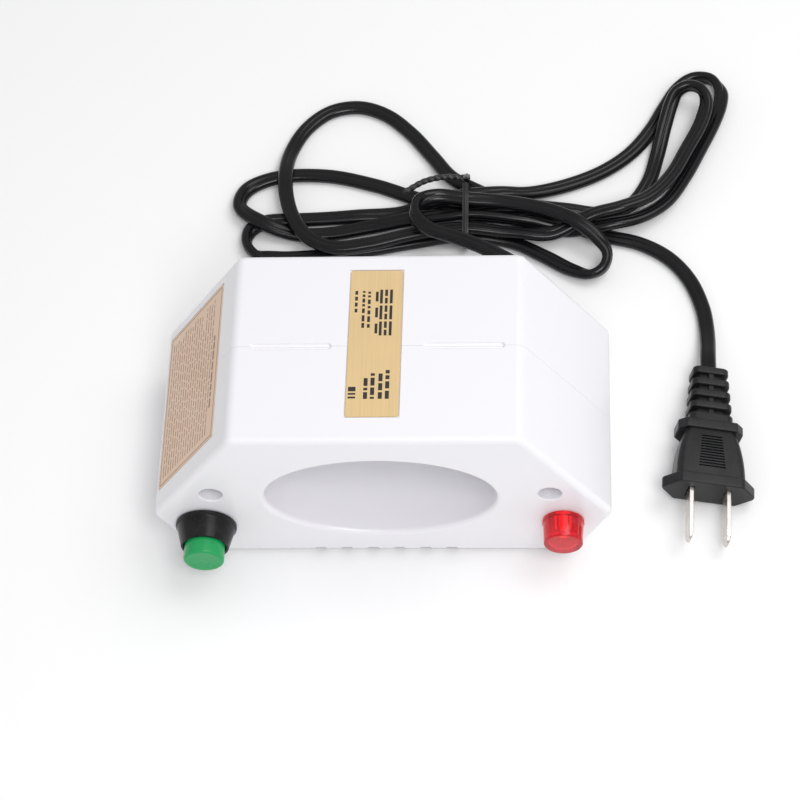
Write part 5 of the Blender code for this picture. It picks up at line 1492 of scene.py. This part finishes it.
@dataclass
class MainsCord:
    """The flat twin cord in its tied hank, with the tie and the plug."""

    bench: Bench
    width: float = 5.5 * MM
    thickness: float = 3.4 * MM
    dent: float = 0.2 * MM  # depth of the groove between the two cores
    step: float = 1.3 * MM
    straight: float = 16.0 * MM  # held flat at each end
    reach: float = 7.5 * MM  # strands nearer than this lean on each other
    lying: float = 0.55  # how strongly the cord lies flat
    edging: float = 2.2  # how strongly it stands on edge in a tight bend
    full_bend: float = 170.0  # bends over a metre: 6 mm of radius counts in full
    leaning: float = 0.22  # how strongly it turns to a strand that touches it
    holding: float = 30.0  # how strongly its ends are held flat
    tie_width: float = 2.2 * MM
    tie_thickness: float = 0.55 * MM
    tie_turns: float = 4.5
    exit: tuple[float, float, float] = (52.0 * MM, 50.4 * MM, 18.0 * MM)
    entry: tuple[float, float, float] = (109.2 * MM, 29.6 * MM, 8.57 * MM)

    def section(self) -> Outline:
        """The twin section: two round cores side by side with a groove between them.

        Returns:
            The section as pairs across and through.
        """
        half, core = self.width / 2, self.thickness / 2
        middle = half - core
        right = []
        for step in range(-5, 6):
            angle = pi / 2 * step / 5
            right.append((middle + core * cos(angle), core * sin(angle)))
        top = []
        for share in (0.62, 0.34, 0.16, 0.0, -0.16, -0.34, -0.62):
            x = middle * share
            top.append((x, core - self.dent * np.exp(-((x / (0.32 * MM)) ** 2))))
        left = [(-x, -z) for x, z in right]
        bottom = [(-x, -z) for x, z in top]
        return [(float(x), float(z)) for x, z in right + top + left + bottom]

    def flat_ways(self, line: np.ndarray) -> np.ndarray:
        """Which way the cord's thin side faces along its line.

        It lies flat where nothing leans on it, stands on edge in tight bends and turns its flat side to the
        strands that touch it.

        Args:
            line: Points of the centreline.

        Returns:
            A direction for each point.
        """
        ahead = np.gradient(line, axis=0)
        ahead /= np.linalg.norm(ahead, axis=1, keepdims=True)
        bend = np.gradient(ahead, axis=0) / self.step
        up = np.array([0.0, 0.0, 1.0]) - ahead * ahead[:, 2:3]
        pull = self.lying * up[:, :, None] * up[:, None, :]
        tight = bend / self.full_bend
        pull += self.edging * tight[:, :, None] * tight[:, None, :]
        stations = np.arange(len(line)) * self.step
        for i, point in enumerate(line):
            away = line - point
            far = np.linalg.norm(away, axis=1)
            near = (far < self.reach) & (np.abs(stations - stations[i]) > 2.5 * self.reach)
            for offset, distance in zip(away[near], far[near]):
                flat = offset - ahead[i] * offset.dot(ahead[i])
                gap = np.linalg.norm(flat)
                if gap > 0.2 * MM:
                    closeness = 1.0 - (distance - self.thickness) / (self.reach - self.thickness)
                    weight = self.leaning * max(0.0, closeness)
                    flat = flat / gap
                    pull[i] += weight * np.outer(flat, flat)
        ends = np.minimum(stations, stations[-1] - stations)
        held = np.clip(1.0 - ends / self.straight, 0.0, 1.0) * self.holding
        pull += held[:, None, None] * up[:, :, None] * up[:, None, :]
        pull = blurred(pull.reshape(len(line), 9), 4.0).reshape(-1, 3, 3)
        thin = []
        for tensor, forward in zip(pull, ahead):
            keep = np.eye(3) - np.outer(forward, forward)
            _, ways = np.linalg.eigh(keep @ tensor @ keep)
            way = ways[:, 2]
            if thin and way.dot(thin[-1]) < 0 or not thin and way[2] < 0:
                way = -way
            thin.append(way)
        return blurred(np.array(thin), 3.0)

    def lifted(self, line: np.ndarray, thin: np.ndarray) -> np.ndarray:
        """Raise the line where the turned section would reach below the floor.

        Args:
            line: Points of the centreline.
            thin: Which way the thin side faces.

        Returns:
            The raised line.
        """
        ahead = np.gradient(line, axis=0)
        ahead /= np.linalg.norm(ahead, axis=1, keepdims=True)
        wide = np.cross(ahead, thin)
        flat = self.width / 2 - self.thickness / 2
        need = self.thickness / 2 + np.abs(wide[:, 2]) * flat
        lift = np.clip(need + 0.05 * MM - line[:, 2], 0.0, None)
        spread = 7
        widest = np.array([lift[max(0, i - spread) : i + spread + 1].max() for i in range(len(lift))])
        raised = line.copy()
        raised[:, 2] += blurred(widest, 3.5)
        return raised

    def build(self) -> None:
        route = [self.exit, *[tuple(v * MM for v in point) for point in CORD_ROUTE], self.entry]
        line = smooth_line(route, self.step)
        thin = self.flat_ways(line)
        line = self.lifted(line, thin)
        cord = Maker.sweep("mains_cord", line, thin, self.section())
        self.bench.place(cord, CORD_PVC, ["power_cord"], angle=60.0)
        tie = self.tie()
        plug = Plug(self.bench).build()

    def tie(self) -> list[bpy.types.Object]:
        """The flat wire tie: a band round the hank and its two ends twisted together.

        Returns:
            The band and the twisted tail.
        """
        points = np.array(TIE_ROUTE) * MM
        tail = smooth_line(points[:4], 0.25 * MM)
        band = smooth_line(points[4:], 0.6 * MM)
        middle = (band.min(0) + band.max(0)) / 2
        outward = band - middle
        outward[:, 0] = 0.0
        band += outward / np.linalg.norm(outward, axis=1, keepdims=True) * (0.1 * MM)
        half, thick, wire = self.tie_width / 2, self.tie_thickness / 2, 0.48 * MM
        section = [(-half, -thick), (half, -thick), (half, thick * 0.7), (0.55 * MM, thick * 0.8)]
        section += [(0.3 * MM, wire), (0.0, wire * 1.15), (-0.3 * MM, wire), (-0.55 * MM, thick * 0.8)]
        section += [(-half, thick * 0.7)]
        ribbon = Maker.sweep("tie_band", band, outward, section)
        ahead = np.gradient(tail, axis=0)
        ahead /= np.linalg.norm(ahead, axis=1, keepdims=True)
        side = np.cross(ahead, np.array([0.0, 0.0, 1.0]))
        side /= np.linalg.norm(side, axis=1, keepdims=True)
        over = np.cross(side, ahead)
        strands = []
        apart = 0.55 * MM  # of each strand from the middle of the twist
        flat = rounded_rectangle(0.95 * MM, 0.42 * MM, 0.3 * MM, steps=2)
        for number, start in enumerate((0.0, pi), 1):
            angle = start + np.linspace(0.0, 2 * pi * self.tie_turns, len(tail))
            radial = side * np.cos(angle)[:, None] + over * np.sin(angle)[:, None]
            strands.append(Maker.sweep(f"tie_end_{number}", tail + radial * apart, radial, flat))
        placed = [self.bench.place(ribbon, TIE_PVC, ["twist_tie"], angle=40.0)]
        placed += [self.bench.place(strand, TIE_PVC, angle=40.0) for strand in strands]
        return placed


# One rib of the strain relief: how far along it, and how much of the dent is cut there
RIB_PROFILE = ((0.0, 1.0), (0.36, 1.0), (0.42, 0.15), (0.5, 0.0), (0.86, 0.0), (0.94, 0.15), (1.0, 1.0))


@dataclass
class StrainRelief:
    """The tapered rubber tail where the cord leaves the case."""

    bench: Bench
    flange: tuple[float, float] = (6.4 * MM, 5.2 * MM)
    neck: tuple[float, float] = (4.6 * MM, 3.4 * MM)
    start: tuple[float, float] = (5.0 * MM, 4.0 * MM)
    end: tuple[float, float] = (3.5 * MM, 2.45 * MM)
    length: float = 20.5 * MM
    ribs: int = 6
    dent: float = 0.75 * MM
    droop: float = 0.55 * MM

    def build(self) -> None:
        """Make the grommet with its ribbed tail."""
        low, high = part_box("cord_outlet")
        _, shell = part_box("rear_shell")
        x, z = (low.x + high.x) / 2, (low.z + high.z) / 2
        inside = low.y + 2.4 * MM
        face = shell.y + 0.3 * MM
        flange, tail = self.flange, face + 2.4 * MM
        edge = 0.5 * MM
        sections = [(flange[0] - edge, flange[1] - edge, low.y), (*flange, low.y + edge), (*flange, inside)]
        sections += [(*self.neck, inside), (*self.neck, face), (*flange, face), (*flange, tail - edge)]
        sections += [(flange[0] - edge * 0.3, flange[1] - edge * 0.3, tail - edge * 0.3)]
        sections += [(flange[0] - edge, flange[1] - edge, tail)]
        pitch = self.length / self.ribs
        for rib in range(self.ribs):
            for part, dent in RIB_PROFILE:
                share = (rib + part) / self.ribs
                half = [a + (b - a) * share - self.dent * dent for a, b in zip(self.start, self.end)]
                sections.append((*half, tail + pitch * (rib + part)))
        rings = []
        for half_width, half_height, y in sections:
            share = max(0.0, (y - tail) / self.length)
            height = z - self.droop * share**2
            rings.append(at_y(rounded_rectangle(half_width, half_height, half_height * 0.75, x, height), y))
        kept = [ring for i, ring in enumerate(rings) if i == 0 or sections[i] != sections[i - 1]]
        self.bench.place(Maker.loft("strain_relief", kept), PLUG_PVC, ["cord_outlet"], angle=30.0)


@dataclass
class Plug:
    """The moulded flat plug with two blades. Its own +Y runs from the cord to the blades' tips."""

    bench: Bench
    tail: float = 22.0 * MM
    tail_start: tuple[float, float] = (6.2 * MM, 4.6 * MM)
    tail_end: tuple[float, float] = (7.6 * MM, 5.4 * MM)
    ribs: int = 4
    rib_share: float = 0.56
    swell: float = 0.78
    collar: tuple[float, float] = (11.2 * MM, 5.9 * MM)
    collar_length: float = 3.6 * MM
    neck: tuple[float, float] = (8.0 * MM, 4.8 * MM)
    bell: tuple[float, float] = (11.8 * MM, 5.6 * MM)
    bell_length: float = 18.0 * MM
    flange_width: float = 33.0 * MM
    flange_height: float = 13.0 * MM
    flange_thickness: float = 4.0 * MM
    blade: tuple[float, float, float] = (1.5 * MM, 19.0 * MM, 6.3 * MM)
    blade_root: float = 8.0 * MM  # inside the body
    blade_gap: float = 0.3 * MM
    grip_lines: int = 12
    grip_pitch: float = 1.08 * MM

    def placement(self) -> Matrix:
        """The plug's place and turn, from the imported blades.

        Returns:
            The matrix from the plug's own frame.
        """
        left_low, left_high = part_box("plug_blade_left")
        right_low, right_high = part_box("plug_blade_right")
        left, right = (left_low + left_high) / 2, (right_low + right_high) / 2
        across = (right - left).normalized()
        ahead = Vector((across.y, -across.x, 0.0)).normalized()
        tip = self.tail + self.collar_length + self.bell_length + self.flange_thickness
        reach = tip + (self.blade[1] - self.blade_root) / 2
        origin = (left + right) / 2 - ahead * reach
        columns = Matrix((-across, ahead, ahead.cross(across))).transposed()
        return Matrix.Translation(origin) @ columns.to_4x4()

    def pad(
        self, name: str, half: tuple[float, float], y: float, length: float, edge: float
    ) -> bpy.types.Object:
        """A slab across the plug with rounded rims.

        Args:
            name: The object's name.
            half: Half width and half height.
            y: Where it starts.
            length: Its length along the plug.
            edge: Radius of its rims.

        Returns:
            The slab.
        """
        rings = []
        for inset, depth in quarter_round(edge, 3):
            rings.append((half[0] - inset, half[1] - inset, y + depth))
        for inset, depth in quarter_round(edge, 3)[::-1]:
            rings.append((half[0] - inset, half[1] - inset, y + length - depth))
        return Maker.loft(name, [at_y(rounded_rectangle(a, b, b * 0.45), at) for a, b, at in rings])

    def ribbed_tail(self) -> list[bpy.types.Object]:
        """The tail's core, ribs and the narrow webs that join them.

        Returns:
            The parts.
        """
        core_start = [half - 1.9 * MM for half in self.tail_start]
        core_end = [half - 2.0 * MM for half in self.tail_end]
        rings = [(*core_start, 0.5 * MM), (*core_end, self.tail + OVERSHOOT)]
        parts = [Maker.loft("core", [at_y(rounded_rectangle(a, b, b * 0.5), y) for a, b, y in rings])]
        pitch = (self.tail - 3.0 * MM) / self.ribs
        for rib in range(self.ribs):
            y = pitch * rib
            share = rib / self.ribs
            half = tuple(a + (b - a) * share for a, b in zip(self.tail_start, self.tail_end))
            parts.append(self.pad("rib", half, y, pitch * self.rib_share, 0.55 * MM))
        parts.append(self.pad("block", self.tail_end, self.tail - 3.0 * MM, 3.0 * MM + OVERSHOOT, 0.5 * MM))
        web = 0.75 * MM
        for side in (-1, 1):
            z = sorted((side * 1.0 * MM, side * (self.tail_start[1] - 0.7 * MM)))
            parts.append(Maker.block("web", (-web, 0.8 * MM, z[0]), (web, self.tail - MM, z[1])))
        return parts

    def grip_cuts(self) -> list[bpy.types.Object]:
        """The recesses between the fine grip lines, on both faces.

        Returns:
            The cutters.
        """
        start = self.tail + self.collar_length + 2.4 * MM
        pitch = self.grip_pitch
        cuts = []
        for side in (-1, 1):
            for i in range(self.grip_lines):
                y = start + pitch * i
                half = (3.5 + 0.1 * i) * MM
                surface = self.bell_half((y - self.tail - self.collar_length) / self.bell_length)[1]
                z = sorted((side * (surface - 0.75 * MM), side * (surface + OVERSHOOT)))
                cuts.append(Maker.block("grip_cut", (-half, y, z[0]), (half, y + pitch * 0.6, z[1])))
        return cuts

    def bell_half(self, share: float) -> tuple[float, float]:
        """Half width and half height of the bell at a share of its length."""
        swell = sin(pi / 2 * min(max(share, 0.0), 1.0) ** self.swell)
        return tuple(a + (b - a) * swell for a, b in zip(self.neck, self.bell))

    def body(self) -> bpy.types.Object:
        """The moulded body in one piece.

        Returns:
            The body.
        """
        start = self.tail + self.collar_length
        rings = []
        for step in range(15):
            share = step / 14
            half = self.bell_half(share)
            y = start - OVERSHOOT + (self.bell_length + 1.5 * OVERSHOOT) * share
            rings.append(at_y(rounded_rectangle(*half, half[1] * 0.42), y))
        body = Maker.loft("plug_moulding", rings)
        parts = self.ribbed_tail()
        width, height = self.collar
        slanted = [(-width, -height * 0.55), (-width + 2.6 * MM, -height), (width - 2.6 * MM, -height)]
        slanted += [(width, -height * 0.55), (width, height * 0.55), (width - 2.6 * MM, height)]
        slanted += [(-width + 2.6 * MM, height), (-width, height * 0.55)]
        parts.append(self.rimmed("collar", slanted, 0.9 * MM, self.tail, self.collar_length, 0.5 * MM))
        half, high = self.flange_width / 2, self.flange_height / 2
        shoulder = half - high * 0.9
        hexagon = [(-half, 0.0), (-shoulder, -high), (shoulder, -high)]
        hexagon += [(half, 0.0), (shoulder, high), (-shoulder, high)]
        flange = start + self.bell_length
        parts.append(self.rimmed("flange", hexagon, 2.0 * MM, flange, self.flange_thickness, 0.6 * MM))
        Maker.combine(body, parts, "UNION")
        thick, _, wide = self.blade
        tips = flange + self.flange_thickness
        cuts = self.grip_cuts()
        for x in self.blade_places():
            gap = self.blade_gap
            low = (x - thick / 2 - gap, tips - self.blade_root - gap, -wide / 2 - gap)
            cuts.append(Maker.block("slot_cut", low, (x + thick / 2 + gap, tips + OVERSHOOT, wide / 2 + gap)))
        Maker.combine(body, cuts, "DIFFERENCE")
        return body

    def rimmed(
        self, name: str, corners: Outline, radius: float, y: float, length: float, edge: float
    ) -> bpy.types.Object:
        """A many-sided slab with round corners and rims.

        Args:
            name: The object's name.
            corners: The outline's corners, counter-clockwise.
            radius: Radius of its corners.
            y: Where it starts.
            length: Its length along the plug.
            edge: Radius of its rims.

        Returns:
            The slab.
        """
        steps = [(inset, y + depth) for inset, depth in quarter_round(edge, 3)]
        steps += [(inset, y + length - depth) for inset, depth in quarter_round(edge, 3)[::-1]]
        rings = [
            at_y(rounded_polygon(inset_polygon(corners, inset), radius - inset, 5), at) for inset, at in steps
        ]
        return Maker.loft(name, rings)

    def blade_places(self) -> tuple[float, float]:
        """X of the left and the right blade in the plug's own frame.

        Returns:
            The two places.
        """
        left_low, left_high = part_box("plug_blade_left")
        right_low, right_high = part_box("plug_blade_right")
        half = ((right_low + right_high) - (left_low + left_high)).length / 4
        return half, -half

    def blade_piece(self, name: str, x: float) -> bpy.types.Object:
        """A flat blade with a rounded tip and chamfered edges.

        Args:
            name: The object's name.
            x: Its place across the plug.

        Returns:
            The blade.
        """
        thick, length, wide = self.blade
        tips = self.tail + self.collar_length + self.bell_length + self.flange_thickness
        start, end = tips - self.blade_root, tips + length
        rings = []
        for inset, y, slim in (
            (0.0, start, 0.0), (0.0, end - 3.2 * MM, 0.0), (0.25 * MM, end - 2.0 * MM, 0.1 * MM),
            (0.8 * MM, end - 0.9 * MM, 0.22 * MM), (1.5 * MM, end - 0.25 * MM, 0.36 * MM),
            (2.1 * MM, end, 0.5 * MM),
        ):  # fmt: skip
            outline = rounded_rectangle(thick / 2 - slim, wide / 2 - inset, 0.22 * MM, x, 0.0, 3)
            rings.append(at_y(outline, y))
        return Maker.loft(name, rings)

    def build(self) -> list[bpy.types.Object]:
        """Make the body and the blades.

        Returns:
            The placed pieces.
        """
        place = self.placement()
        body = self.body()
        body.data.transform(place)
        placed = [self.bench.place(body, PLUG_PVC, ["plug_body"], angle=28.0)]
        for side, x in zip(("left", "right"), self.blade_places()):
            blade = self.blade_piece(f"contact_blade_{side}", x)
            blade.data.transform(place)
            placed.append(self.bench.place(blade, NICKEL, [f"plug_blade_{side}"], angle=28.0))
        return placed


# ---------------------------------------------------------------- studio


@dataclass(frozen=True)
class Softbox:
    """One square area light that looks at the object."""

    name: str
    position: tuple[float, float, float]
    size: float
    power: float
    tint: Colour = (1.0, 1.0, 1.0)

    def hang(self, target: Vector) -> None:
        """Put the light up, turned towards a point.

        Args:
            target: What the light looks at.
        """
        data = bpy.data.lights.new(self.name, "AREA")
        data.shape, data.size, data.energy, data.color = "SQUARE", self.size, self.power, self.tint
        lamp = bpy.data.objects.new(self.name, data)
        lamp.location = self.position
        lamp.rotation_euler = (target - Vector(self.position)).to_track_quat("-Z", "Y").to_euler()
        bpy.context.scene.collection.objects.link(lamp)


@dataclass
class Studio:
    """Pale floor, soft lights and the camera."""

    bench: Bench
    target: tuple[float, float, float] = (5.4 * MM, 1.4 * MM, 37.0 * MM)
    distance: float = 868.16 * MM
    elevation: float = 57.688
    azimuth: float = 6.852
    roll: float = -6.109
    lens: float = 117.9
    sky: float = 0.49
    lights: tuple[Softbox, ...] = (
        Softbox("key_light", (0.5, 0.2, 1.1), 0.7, 4.4),
        Softbox("fill_light", (0.25, -0.6, 1.0), 0.5, 5.8),
    )

    def camera(self) -> None:
        """Set the camera up."""
        az, el, roll = radians(self.azimuth), radians(self.elevation), radians(self.roll)
        back = Vector((sin(az) * cos(el), -cos(az) * cos(el), sin(el)))
        right = Vector((cos(az), sin(az), 0.0))
        up = back.cross(right)
        side = right * cos(roll) + up * sin(roll)
        head = up * cos(roll) - right * sin(roll)
        data = bpy.data.cameras.new("camera")
        data.lens, data.sensor_width = self.lens, 36.0
        data.clip_start, data.clip_end = 0.01, 20.0
        camera = bpy.data.objects.new("camera", data)
        rows = Matrix((side, head, back)).transposed().to_4x4()
        camera.matrix_world = Matrix.Translation(Vector(self.target) + back * self.distance) @ rows
        bpy.context.scene.collection.objects.link(camera)
        bpy.context.scene.camera = camera

    def floor(self) -> None:
        """Lay a flat floor that reaches far past the view, a hair under the feet."""
        points = []
        reach, rows, height = 6.0, 24, -0.02 * MM
        for row in range(rows + 1):
            y = -reach + 2 * reach * row / rows
            points += [(-reach, y, height), (reach, y, height)]
        faces = [(2 * row, 2 * row + 1, 2 * row + 3, 2 * row + 2) for row in range(rows)]
        floor = Maker.mesh("floor", points, faces)
        self.bench.paint(floor, FLOOR_PAPER)

    def light(self) -> None:
        """Hang the lights and set the even white surroundings."""
        world = bpy.data.worlds.new("white room")
        world.use_nodes = True
        sky = world.node_tree.nodes["Background"]
        sky.inputs["Color"].default_value = (1.0, 1.0, 1.0, 1.0)
        sky.inputs["Strength"].default_value = self.sky
        bpy.context.scene.world = world
        for softbox in self.lights:
            softbox.hang(Vector(self.target))
        bpy.context.scene.view_settings.view_transform = "Standard"

    def build(self) -> None:
        """Set up the floor and the lights."""
        self.floor()
        self.light()


# ---------------------------------------------------------------- whole object


def main() -> None:
    """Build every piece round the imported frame."""
    logging.basicConfig(level=logging.INFO, format="%(name)s: %(message)s")
    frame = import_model()
    bench = Bench(frame["nodes"])
    studio = Studio(bench)
    studio.camera()
    MainsCord(bench).build()
    StrainRelief(bench).build()
    plan = CasePlan.from_frame()
    case = Case(bench, plan)
    case.build()
    Labels(bench, plan, case).build()
    PushButton(bench).build()
    Lamp(bench).build()
    bench.dress_inner_pieces()
    studio.build()


if __name__ == "__main__":
    main()
